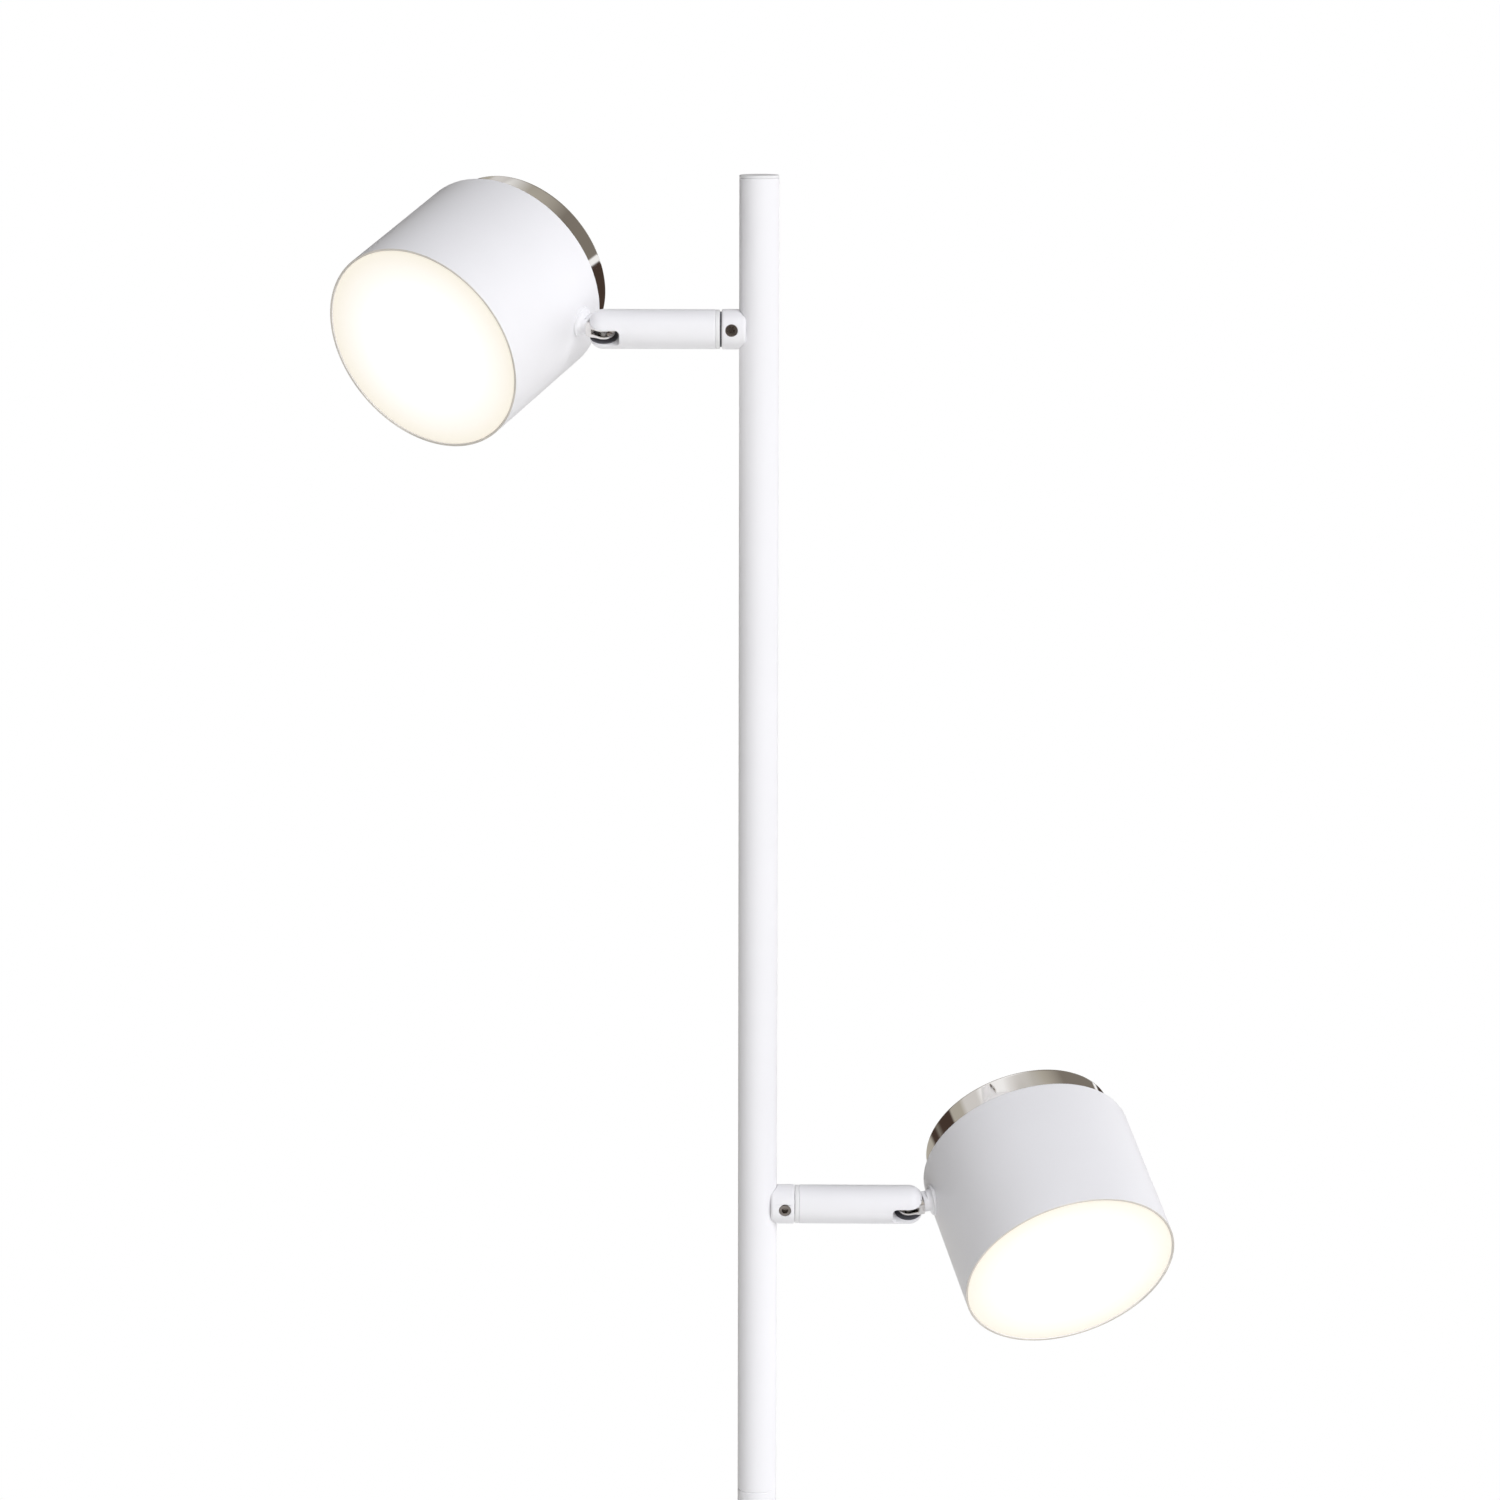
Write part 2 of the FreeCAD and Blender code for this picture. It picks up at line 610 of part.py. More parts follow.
def make_terminal_block():
    """A block with an entry for both cables, one for the mains cord and two screw wells."""
    body = new_body("terminal_block")
    sketch = new_sketch(body, "XY_Plane", "pad_thickness + seat_gap")
    draw_outline(sketch, rectangle("block_length", "block_width", "0", "block_offset", "block_edge"))
    extrude(body, sketch, "block_height")
    entry_height = "cable_diameter + 2 * entry_play"
    entry = rectangle(f"cable_spacing + {entry_height}", entry_height, "0", RUN_HEIGHT, "cable_diameter / 2")
    cut(body, "XZ_Plane", lambda sketch: draw_outline(sketch, entry),
        "entry_depth", f"0 - {BLOCK_FACE}")
    cut(body, "XZ_Plane", lambda sketch: draw_circle(
        sketch, "inlet_bore + 2 * entry_play", "0", "inlet_height"),
        "entry_depth", f"0 - {BLOCK_FACE} - block_width", reverse=True)

    def draw_wells(sketch):
        for sign in ("-", "+"):
            draw_circle(sketch, "terminal_bore", f"0 {sign} terminal_spacing / 2", "block_offset")

    cut(body, "XY_Plane", draw_wells, "terminal_depth", "pad_thickness + seat_gap", reverse=True)


# ---------------------------------------------------------------- the pole


def section_foot(index):
    """Write the height of a section's lower end."""
    return f"base_height + {index} * section_length"


def make_pole():
    radius = "pole_diameter / 2"
    inner = "pole_diameter / 2 - pole_wall"
    for index, name in enumerate(("pole_lower", "pole_middle", "pole_upper")):
        foot = section_foot(index)
        head = section_foot(index + 1)
        if name == "pole_upper":
            head += " - cap_thickness"
        body = turned(name, [
            (inner, foot),
            (f"{radius} - section_chamfer", foot),
            (radius, f"{foot} + section_chamfer"),
            (radius, f"{head} - section_chamfer"),
            (f"{radius} - section_chamfer", head),
            (inner, head),
        ])
        if name == "pole_upper":
            cut_stud_holes(body)


def cut_stud_holes(body):
    """One hole on the left for the upper stud and one on the right for the lower stud."""
    for side in SIDES:
        height = f"{POLE_TOP} - {side}_drop"
        cut(body, "YZ_Plane", lambda sketch: draw_circle(
            sketch, "stud_diameter + 2 * seat_gap", "0", height),
            "pole_diameter", reverse=(side == "lower"))


def make_pole_cap():
    inner = "pole_diameter / 2 - pole_wall - press_gap"
    turned("pole_cap", [
        (f"{inner} - cap_stem_wall", f"{POLE_TOP} - cap_thickness - cap_stem"),
        (inner, f"{POLE_TOP} - cap_thickness - cap_stem"),
        (inner, f"{POLE_TOP} - cap_thickness"),
        ("pole_diameter / 2", f"{POLE_TOP} - cap_thickness"),
        ("pole_diameter / 2", POLE_TOP, "cap_edge_radius"),
        ("0", POLE_TOP),
        ("0", f"{POLE_TOP} - cap_thickness"),
        (f"{inner} - cap_stem_wall", f"{POLE_TOP} - cap_thickness"),
    ])


def make_pole_joints():
    """Rings sit in five tube ends, and hollow studs join them and the foot."""
    outer = "pole_diameter / 2 - pole_wall - press_gap"
    rings = []
    for index in range(3):
        feet = [section_foot(index)]
        if index < 2:
            feet.append(section_foot(index + 1) + " - insert_length")
        for foot in feet:
            rings.append(turned(f"ring_{len(rings)}", [
                ("nipple_diameter / 2 + press_gap", foot),
                (outer, foot),
                (outer, f"{foot} + insert_length"),
                ("nipple_diameter / 2 + press_gap", f"{foot} + insert_length"),
            ], kept=False))
    group("pole_inserts", rings)
    studs = []
    spans = [(NIPPLE_FOOT, "base_height + nipple_grip")]
    for index in (1, 2):
        seam = section_foot(index)
        spans.append((f"{seam} - nipple_grip", f"{seam} + nipple_grip"))
    for foot, head in spans:
        studs.append(turned(f"nipple_{len(studs)}", [
            ("nipple_bore / 2", foot),
            ("nipple_diameter / 2", foot, "small_edge"),
            ("nipple_diameter / 2", head, "small_edge"),
            ("nipple_bore / 2", head),
        ], kept=False))
    group("pole_nipples", studs)


# ---------------------------------------------------------------- couplers, studs and their screws


def make_coupler(side):
    """A round socket whose inner end is coped to straddle the pole."""
    name = f"{side}_coupler"
    start = f"{side}_coupler_start"
    end = along_arm(side, "coupler_end")
    body = turned(name, [
        ("stud_diameter / 2 + seat_gap", start),
        ("coupler_diameter / 2", start, "coupler_edge"),
        ("coupler_diameter / 2", end, "coupler_edge"),
        ("stud_diameter / 2 + seat_gap", end),
    ])
    # the pole runs along the body's Y
    cut(body, "XZ_Plane", lambda sketch: draw_circle(sketch, "pole_diameter + 2 * seat_gap"),
        "2 * coupler_diameter", both=True)
    cut(body, "YZ_Plane", lambda sketch: draw_circle(
        sketch, "set_screw_diameter + 2 * press_gap", "0", f"{start} + set_screw_place"),
        "coupler_diameter", reverse=True, turn=coupler_turn(side))
    place(body, coupler_frame(side))


def coupler_turn(side):
    """Turn about the arm that lowers the set screw from the level, in the coupler's frame."""
    sign = -1 if side == "upper" else 1
    return sign * value(f"{side}_screw_angle")


def make_set_screws():
    """Short screws with a hex socket. Each bears on its stud."""
    screws = []
    for side in SIDES:
        top = "coupler_diameter / 2 - set_screw_sink"
        foot = "stud_diameter / 2 + seat_gap"
        body = turned(f"{side}_set_screw", [
            ("0", foot),
            ("set_screw_diameter / 2", foot, "small_edge"),
            ("set_screw_diameter / 2", top, "small_edge"),
            ("0", top),
        ], kept=False)
        cut(body, "XY_Plane", lambda sketch: draw_outline(sketch, hexagon("set_screw_socket")),
            "set_screw_socket_depth", top)
        turn = FreeCAD.Rotation(Vector(0, 0, 1), coupler_turn(side))
        along_x = FreeCAD.Rotation(Vector(0, 1, 0), 90)
        centre = Vector(0, 0, value(f"{side}_coupler_start + set_screw_place"))
        body.Placement = coupler_frame(side).multiply(FreeCAD.Placement(centre, turn.multiply(along_x)))
        screws.append(body)
    group("set_screws", screws)


def stud_end(side):
    return (f"{along_arm(side, 'arm')} + bush_spigot + face_gap"
            " + spring_washer_height + stud_nut_height + stud_tail")


def make_stud(side):
    """A hollow stud. Its head is shaped to the inside of the tube."""
    name = f"{side}_stud"
    wall = "pole_diameter / 2 - pole_wall"
    blank = turned(name + "_blank", [
        ("stud_bore / 2", f"{wall} - stud_head_height"),
        ("stud_head_diameter / 2", f"{wall} - stud_head_height"),
        ("stud_head_diameter / 2", wall),
        ("stud_diameter / 2", wall),
        ("stud_diameter / 2", stud_end(side), "small_edge"),
        ("stud_bore / 2", stud_end(side)),
    ], kept=False)
    # the tube's bore runs along the stud's Y
    inside = document.addObject("Part::Cylinder", name + "_tube_bore")
    inside.setExpression("Radius", bound(f"{wall} - seat_gap"))
    inside.setExpression("Height", bound("2 * stud_head_diameter"))
    inside.Placement = FreeCAD.Placement(Vector(), FreeCAD.Rotation(Vector(1, 0, 0), 90))
    inside.setExpression(".Placement.Base.y", bound("stud_head_diameter"))
    shank = document.addObject("Part::Cylinder", name + "_shank")
    shank.setExpression("Radius", bound("stud_diameter / 2"))
    shank.setExpression("Height", bound(stud_end(side)))
    keep = document.addObject("Part::Fuse", name + "_keep")
    keep.Base = inside
    keep.Tool = shank
    stud = document.addObject("Part::Common", name)
    stud.Label = name
    stud.Base = blank
    stud.Tool = keep
    nodes[name] = stud
    place(stud, coupler_frame(side))


def make_stud_hardware():
    """A shim before each arm's bush, and a spring washer and a nut behind it."""
    shims, washers, nuts = [], [], []
    for side in SIDES:
        shim_foot = f"{along_arm(side, 'coupler_end')} + face_gap"
        shim_end = f"{along_arm(side, 'bush')} - face_gap"
        shim = turned(f"{side}_swivel_shim", [
            ("stud_diameter / 2 + running_gap", shim_foot),
            ("shim_diameter / 2", shim_foot),
            ("shim_diameter / 2", shim_end),
            ("stud_diameter / 2 + running_gap", shim_end),
        ], kept=False)
        seat = f"{along_arm(side, 'arm')} + bush_spigot + face_gap"
        washer = turned(f"{side}_spring_washer", [
            ("stud_diameter / 2 + press_gap", seat),
            ("spring_washer_diameter / 2", seat),
            ("spring_washer_diameter / 2", f"{seat} + spring_washer_height"),
            ("stud_diameter / 2 + press_gap", f"{seat} + spring_washer_height"),
        ], kept=False)
        nut = new_body(f"{side}_stud_nut", kept=False)
        sketch = new_sketch(nut, "XY_Plane", f"{seat} + spring_washer_height")
        draw_outline(sketch, hexagon("stud_nut_width"))
        extrude(nut, sketch, "stud_nut_height")
        cut(nut, "XY_Plane", lambda sketch: draw_circle(sketch, "stud_diameter + 2 * press_gap"),
            "2 * arm_length", reverse=True)
        shims.append(place(shim, coupler_frame(side)))
        washers.append(place(washer, coupler_frame(side)))
        nuts.append(place(nut, coupler_frame(side)))
    group("swivel_shims", shims)
    group("spring_washers", washers)
    group("stud_nuts", nuts)


# ---------------------------------------------------------------- the arms


def make_swivel_bush(side):
    """The thin ring next to the coupler, with a spigot inside the arm."""
    spigot = "arm_bore / 2 - press_gap"
    body = turned(f"{side}_swivel_bush", [
        ("stud_diameter / 2 + running_gap", "0 - bush_flange"),
        ("bush_diameter / 2", "0 - bush_flange", "bush_edge"),
        ("bush_diameter / 2", "0", "bush_edge"),
        (spigot, "0"),
        (spigot, "bush_spigot"),
        ("stud_diameter / 2 + running_gap", "bush_spigot"),
    ])
    place(body, arm_frame(side), value(along_arm(side, "arm")))


def make_arm(side):
    """A round bar with a hollow for the nut, a lead way, a slot and a rounded end."""
    name = f"{side}_arm"
    body = turned(name, [
        ("arm_bore / 2", "0"),
        ("arm_diameter / 2", "0", "arm_edge"),
        ("arm_diameter / 2", "arm_length", "arm_end_radius"),
        ("lead_bore / 2", "arm_length"),
        ("lead_bore / 2", "arm_bore_depth"),
        ("arm_bore / 2", "arm_bore_depth"),
    ])
    slot_floor = "arm_length - slot_depth"
    cut(body, "YZ_Plane", lambda sketch: draw_outline(sketch, [
        ("0 - slot_width / 2", slot_floor, "slot_corner"),
        ("slot_width / 2", slot_floor, "slot_corner"),
        ("slot_width / 2", "arm_length + slot_width"),
        ("0 - slot_width / 2", "arm_length + slot_width"),
    ]), "2 * arm_diameter", both=True)
    pivot = "arm_length - pivot_setback"
    cut(body, "XZ_Plane", lambda sketch: draw_circle(
        sketch, "tilt_screw_diameter + 2 * seat_gap", "0", pivot),
        "arm_diameter", "0 - slot_width / 2 - tilt_grip - tilt_hole_end", reverse=True)
    cut(body, "XZ_Plane", lambda sketch: draw_circle(
        sketch, "tilt_head_diameter + 2 * seat_gap", "0", pivot),
        "arm_diameter", "arm_diameter / 2 - tilt_head_sink - tilt_head_height", reverse=True)
    place(body, arm_frame(side), value(along_arm(side, "arm")))


def make_tilt_screw(side):
    """A shoulder screw with a slotted head, from the lower ear into the upper one."""
    head_foot = "arm_diameter / 2 - tilt_head_sink - tilt_head_height"
    body = turned(f"{side}_tilt_screw", [
        ("0", "0 - slot_width / 2 - tilt_grip"),
        ("tilt_screw_diameter / 2", "0 - slot_width / 2 - tilt_grip", "small_edge"),
        ("tilt_screw_diameter / 2", head_foot),
        ("tilt_head_diameter / 2", head_foot),
        ("tilt_head_diameter / 2", f"{head_foot} + tilt_head_height", "small_edge"),
        ("0", f"{head_foot} + tilt_head_height"),
    ])
    cut(body, "XY_Plane", lambda sketch: draw_outline(sketch, rectangle(
        "tilt_drive", "2 * tilt_head_diameter")), "tilt_drive", f"{head_foot} + tilt_head_height")
    across = FreeCAD.Placement(Vector(0, 0, 0), FreeCAD.Rotation(Vector(1, 0, 0), 90))
    frame = shifted(arm_frame(side), value(along_arm(side, "pivot")))
    body.Placement = frame.multiply(across)


def make_tilt_washers(side):
    """Two friction washers between the tongue and the slot's walls."""
    washers = []
    for sign in ("-", "+"):
        near = f"0 {sign} (slot_width / 2 - seat_gap)"
        far = f"0 {sign} (slot_width / 2 - seat_gap - friction_thickness)"
        washers.append(turned(f"{side}_washer_{len(washers)}", [
            ("tilt_screw_diameter / 2 + seat_gap", near),
            ("friction_diameter / 2", near),
            ("friction_diameter / 2", far),
            ("tilt_screw_diameter / 2 + seat_gap", far),
        ], kept=False))
    across = FreeCAD.Placement(Vector(0, 0, 0), FreeCAD.Rotation(Vector(1, 0, 0), 90))
    frame = shifted(arm_frame(side), value(along_arm(side, "pivot")))
    for washer in washers:
        washer.Placement = frame.multiply(across)
    group(f"{side}_tilt_washers", washers)


# ---------------------------------------------------------------- the knuckle

TONGUE_THICKNESS = "(slot_width - 2 * seat_gap - 2 * friction_thickness - 2 * face_gap)"
WALL_DEPTH = f"({SPOT_OFFSET} - sqrt({INSIDE}^2 - (neck_nut_width / sqrt(3))^2) + seat_gap)"
STEM_END = f"({WALL_DEPTH} + neck_nut_height + stem_tail)"


def make_tongue(side):
    """A chrome tongue with a round end and two cheeks, on a hollow threaded stem."""
    name = f"{side}_tongue"
    body = new_body(name)
    sketch = new_sketch(body, "XZ_Plane")
    draw_circle(sketch, "tongue_width")
    extrude(body, sketch, TONGUE_THICKNESS, both=True)
    sketch = new_sketch(body, "XZ_Plane")
    draw_outline(sketch, [
        ("0 - tongue_width / 2", "0"),
        ("tongue_width / 2", "0"),
        ("tongue_width / 2", "tongue_reach"),
        ("0 - tongue_width / 2", "tongue_reach"),
    ])
    extrude(body, sketch, TONGUE_THICKNESS, both=True)
    sketch = new_sketch(body, "XY_Plane", "groove_end")
    draw_circle(sketch, "stem_diameter - 2 * stem_relief")
    extrude(body, sketch, f"{STEM_END} - groove_end")
    cut(body, "XZ_Plane", lambda sketch: draw_circle(sketch, "tilt_screw_diameter + 2 * running_gap"),
        "2 * tongue_width", both=True)
    cut(body, "YZ_Plane", lambda sketch: draw_outline(sketch, [
        ("0 - groove_width / 2", "0 - tongue_width"),
        ("groove_width / 2", "0 - tongue_width"),
        ("groove_width / 2", "groove_end"),
        ("0 - groove_width / 2", "groove_end"),
    ]), "2 * tongue_width", both=True)
    cut(body, "XY_Plane", lambda sketch: draw_circle(sketch, "stem_bore"),
        SPOT_OFFSET, "0", reverse=True)
    place(body, tongue_frame(side))


def draw_foot_flats(sketch):
    """Draw what is taken off both sides of the seat's foot, so that it fits the slot."""
    for side_of_foot in ("", "0 - "):
        near = f"{side_of_foot}(slot_width / 2 - neck_foot_gap)"
        far = f"{side_of_foot}neck_flange_diameter"
        draw_outline(sketch, [
            (near, "tongue_reach"),
            (far, "tongue_reach"),
            (far, "neck_round_reach"),
            (near, "neck_round_reach"),
        ])


def make_neck_flange(side):
    """A trumpet-shaped seat with a flat-sided foot, hollowed to sit on the round shell."""
    name = f"{side}_neck_flange"
    foot = "tongue_reach + seat_gap"
    body = turned(name, [
        ("stem_diameter / 2 + seat_gap", foot),
        ("neck_diameter / 2", foot),
        ("neck_diameter / 2", "neck_length - neck_flange_rim", "neck_flare"),
        ("neck_flange_diameter / 2", "neck_length - neck_flange_rim", "small_edge"),
        ("neck_flange_diameter / 2", "neck_length + neck_flange_diameter / 2"),
        ("stem_diameter / 2 + seat_gap", "neck_length + neck_flange_diameter / 2"),
    ])
    cut(body, "YZ_Plane", lambda sketch: draw_circle(
        sketch, "shell_diameter + 2 * seat_gap", "0", SPOT_OFFSET),
        "4 * neck_flange_diameter", both=True)
    cut(body, "YZ_Plane", draw_foot_flats, "neck_flange_diameter", both=True, turn=-value(f"{side}_twist"))
    place(body, neck_frame(side))


def make_neck_nut(side):
    body = new_body(f"{side}_neck_nut")
    sketch = new_sketch(body, "XY_Plane", WALL_DEPTH)
    draw_outline(sketch, hexagon("neck_nut_width"))
    extrude(body, sketch, "neck_nut_height")
    cut(body, "XY_Plane", lambda sketch: draw_circle(sketch, "stem_diameter + 2 * press_gap"),
        SPOT_OFFSET, reverse=True)
    place(body, neck_frame(side))


# ---------------------------------------------------------------- the spot

SHELL_REAR = "(front_reach - shell_length)"
CUP_REAR = f"({SHELL_REAR} - rear_cover_length)"
PLATE_FACE = "(front_reach - plate_depth)"
DISC_FACE = "(front_reach - diffuser_sink)"


def make_shell(side):
    """A drum with a thin front rim and a rear edge rolled in round the chrome cup."""
    name = f"{side}_shell"
    opening = f"{CUP_RADIUS} + press_gap"
    body = turned(name, [
        (opening, SHELL_REAR),
        ("shell_diameter / 2", SHELL_REAR, "shell_rear_radius"),
        ("shell_diameter / 2", "front_reach", "shell_rim_edge"),
        (INSIDE, "front_reach", "shell_rim_edge"),
        (INSIDE, f"{SHELL_REAR} + shell_wall"),
        (opening, f"{SHELL_REAR} + shell_wall"),
    ])
    cut(body, "YZ_Plane", lambda sketch: draw_circle(sketch, "stem_diameter + 2 * seat_gap"),
        "shell_diameter")
    place(body, head_frame(side))


def make_rear_cover(side):
    """A chrome cup whose lip lies inside the drum's rear edge."""
    radius = CUP_RADIUS
    lip_foot = f"{SHELL_REAR} + shell_wall + seat_gap"
    inner_rear = f"{CUP_REAR} + rear_cover_wall"
    body = turned(f"{side}_rear_cover", [
        ("0", CUP_REAR),
        (radius, CUP_REAR, "rear_cover_radius"),
        (radius, lip_foot),
        (f"{radius} + rear_cover_lip", lip_foot),
        (f"{radius} + rear_cover_lip", f"{lip_foot} + rear_cover_wall"),
        (f"{radius} - rear_cover_wall", f"{lip_foot} + rear_cover_wall"),
        (f"{radius} - rear_cover_wall", inner_rear, "rear_cover_radius - rear_cover_wall"),
        ("0", inner_rear),
    ])
    place(body, head_frame(side))


def make_heat_sink(side):
    """An aluminium cup pressed into the drum, with ribs behind its plate."""
    name = f"{side}_heat_sink"
    outer = f"{INSIDE} - press_gap"
    rear = f"{PLATE_FACE} - plate_thickness"
    body = turned(name, [
        ("0", rear),
        (f"{outer} - plate_rim_wall", rear),
        (f"{outer} - plate_rim_wall", f"{PLATE_FACE} - plate_rim_length"),
        (outer, f"{PLATE_FACE} - plate_rim_length"),
        (outer, PLATE_FACE, "heat_sink_edge"),
        ("0", PLATE_FACE),
    ])
    sketch = new_sketch(body, "XY_Plane", f"{rear} - fin_height")
    fin_middle = f"({INSIDE} - fin_end + fin_start) / 2"
    draw_outline(sketch, rectangle(f"{INSIDE} - fin_end - fin_start", "fin_thickness", fin_middle, "0"))
    fin = extrude(body, sketch, "fin_height + plate_thickness / 2")
    document.recompute()
    fins = body.newObject("PartDesign::PolarPattern", name + "_ribs")
    fins.Originals = [fin]
    fins.Axis = (sketch, ["N_Axis"])
    fins.Angle = 360
    fins.setExpression("Occurrences", bound("fin_count"))
    body.Tip = fins
    document.recompute()
    screw_holes(body, SPOT_OFFSET)
    cut(body, "XY_Plane", lambda sketch: draw_circle(
        sketch, "lead_diameter + 2 * seat_gap", "0", "0 - board_lead_place"), SPOT_OFFSET, both=True)
    place(body, head_frame(side))


def ring_of_places(radius, count, turn=0.0):
    """Return placements round the spot's axis."""
    placements = []
    for step in range(count):
        rotation = FreeCAD.Rotation(Vector(0, 0, 1), turn + 360 * step / count)
        placements.append(FreeCAD.Placement(rotation.multVec(Vector(value(radius), 0, 0)), rotation))
    return placements


def screw_holes(body, length):
    """Cut the holes of the board's screws."""

    def draw(sketch):
        for step in range(BOARD_SCREW_COUNT):
            angle = f"((board_screw_angle + {360 * step / BOARD_SCREW_COUNT}) * 1deg)"
            draw_circle(sketch, "board_screw_diameter + 2 * seat_gap",
                        f"{BOARD_SCREW_RADIUS} * cos({angle})", f"{BOARD_SCREW_RADIUS} * sin({angle})")

    cut(body, "XY_Plane", draw, length, both=True)


def make_led_board(side):
    body = new_body(f"{side}_led_board")
    sketch = new_sketch(body, "XY_Plane", PLATE_FACE)
    draw_circle(sketch, f"2 * {BOARD_RADIUS}")
    extrude(body, sketch, "board_thickness")
    screw_holes(body, f"2 * {SPOT_OFFSET}")
    place(body, head_frame(side))


def make_leds(side):
    """Two circles of square chips on the board."""
    chip = new_body(f"{side}_chip", kept=False)
    sketch = new_sketch(chip, "XY_Plane")
    draw_outline(sketch, rectangle("chip_size", "chip_size", "0", "0", "small_edge"))
    extrude(chip, sketch, "chip_height")
    spots = ring_of_places("chip_inner_radius", INNER_CHIP_COUNT)
    spots += ring_of_places(CHIP_OUTER_RADIUS, OUTER_CHIP_COUNT)
    frame = shifted(head_frame(side), value(f"{PLATE_FACE} + board_thickness"))
    repeat(f"{side}_leds", chip, [frame.multiply(spot) for spot in spots])


def make_board_screws(side):
    """Cheese-head screws through the board into the heat sink."""
    screw = turned(f"{side}_board_screw", [
        ("0", "0 - board_thickness - plate_thickness"),
        ("board_screw_diameter / 2", "0 - board_thickness - plate_thickness", "small_edge"),
        ("board_screw_diameter / 2", "0"),
        ("board_screw_head / 2", "0"),
        ("board_screw_head / 2", "board_screw_head_height", "small_edge"),
        ("0", "board_screw_head_height"),
    ], kept=False)
    cut(screw, "XY_Plane", lambda sketch: draw_outline(sketch, rectangle(
        "tilt_drive", "2 * board_screw_head")), "tilt_drive", "board_screw_head_height")
    frame = shifted(head_frame(side), value(f"{PLATE_FACE} + board_thickness"))
    spots = ring_of_places(BOARD_SCREW_RADIUS, BOARD_SCREW_COUNT, value("board_screw_angle"))
    repeat(f"{side}_board_screws", screw, [frame.multiply(spot) for spot in spots])


def make_reflector(side):
    """A white cone that stands on the heat sink and carries the diffuser."""
    top = f"{DISC_FACE} - diffuser_skirt - seat_gap"
    foot = f"{PLATE_FACE} + seat_gap"
    outer = f"{INSIDE} - seat_gap"
    body = turned(f"{side}_reflector", [
        (CONE_FOOT, foot),
        (outer, foot),
        (outer, f"{foot} + reflector_wall"),
        (f"{CONE_FOOT} + 1.5 * reflector_wall", f"{foot} + reflector_wall"),
        (outer, f"{top} - 2 * reflector_wall"),
        (outer, top),
        (f"{outer} - diffuser_skirt_wall", top),
        (CONE_FOOT, f"{foot} + reflector_wall"),
    ])
    place(body, head_frame(side))


def make_diffuser(side):
    """An opal disc with a rim, almost flush with the drum's front."""
    outer = f"{INSIDE} - press_gap"
    body = turned(f"{side}_diffuser", [
        ("0", f"{DISC_FACE} - diffuser_thickness"),
        (f"{outer} - diffuser_skirt_wall", f"{DISC_FACE} - diffuser_thickness"),
        (f"{outer} - diffuser_skirt_wall", f"{DISC_FACE} - diffuser_skirt"),
        (outer, f"{DISC_FACE} - diffuser_skirt"),
        (outer, DISC_FACE, "diffuser_edge"),
        ("0", DISC_FACE),
    ])
    place(body, head_frame(side))


def make_driver(side):
    """A potted block on the floor of the chrome cup."""
    body = new_body(f"{side}_driver")
    sketch = new_sketch(body, "XY_Plane", f"{CUP_REAR} + rear_cover_wall + seat_gap")
    draw_outline(sketch, rectangle("driver_length", "driver_width", "0", "0", "driver_corner"))
    extrude(body, sketch, "driver_height")
    place(body, head_frame(side))


DRIVER_TOP = f"({CUP_REAR} + rear_cover_wall + seat_gap + driver_height)"

# ---------------------------------------------------------------- cables and leads


def tube(name, corners, diameter):
    """Sweep a round cord along straight runs joined by tangent arcs of (point, bend) corners."""
    edges = []
    here = corners[0][0]
    for index in range(1, len(corners) - 1):
        corner, bend = corners[index]
        arriving = (corner - corners[index - 1][0]).normalize()
        leaving = (corners[index + 1][0] - corner).normalize()
        half_turn = arriving.getAngle(leaving) / 2
        reach = bend * math.tan(half_turn)
        enter = corner - arriving * reach
        leave = corner + leaving * reach
        middle = corner + (leaving - arriving).normalize() * bend * (1 / math.cos(half_turn) - 1)
        edges.append(Part.LineSegment(here, enter).toShape())
        edges.append(Part.Arc(enter, middle, leave).toShape())
        here = leave
    edges.append(Part.LineSegment(here, corners[-1][0]).toShape())
    path = Part.Wire(edges)
    start = corners[0][0]
    direction = (corners[1][0] - start).normalize()
    ring = Part.Wire(Part.Circle(start, direction, diameter / 2).toShape())
    shape = path.makePipeShell([ring], True, False)
    expected = math.pi * diameter ** 2 / 4 * path.Length
    print(f"{name}: length {path.Length:.1f}, volume / expected {shape.Volume / expected:.5f}")
    feature = document.addObject("Part::Feature", name)
    feature.Label = name
    feature.Shape = shape
    nodes[name] = feature
    return feature


def make_pole_cable(side):
    """From the terminal block along the channel, up the pole and out through the stud."""
    sign = 1 if side == "upper" else -1
    beside = sign * value("cable_spacing / 2")
    swing = sign * value("cable_swing")
    low = value(RUN_HEIGHT)
    origin, direction = arm_axis(side)
    level = origin.z
    sweep = value("cable_sweep")
    last = level - value("cable_last")
    before = last - value("cable_rise")
    corners = [
        (Vector(beside, value(f"{BLOCK_FACE} + entry_depth - seat_gap"), low), 0),
        (Vector(beside, 0, low), value("cable_bend")),
    ]
    if side == "upper":
        # step behind the lower stud, then come round to face the upper stud
        step = value(f"{section_foot(2)} + cable_step")
        corners.append((Vector(beside, 0, step), sweep))
        corners.append((Vector(beside, swing, step + value("cable_shift")), sweep))
        corners.append((Vector(beside, swing, before), sweep))
    else:
        corners.append((Vector(beside, 0, before), sweep))
    corners.append((Vector(swing, 0, last), sweep))
    corners.append((Vector(swing, 0, level), value("cable_turn")))
    corners.append((origin + direction * value(stud_end(side)), 0))
    tube(f"{side}_cable", corners, value("cable_diameter"))


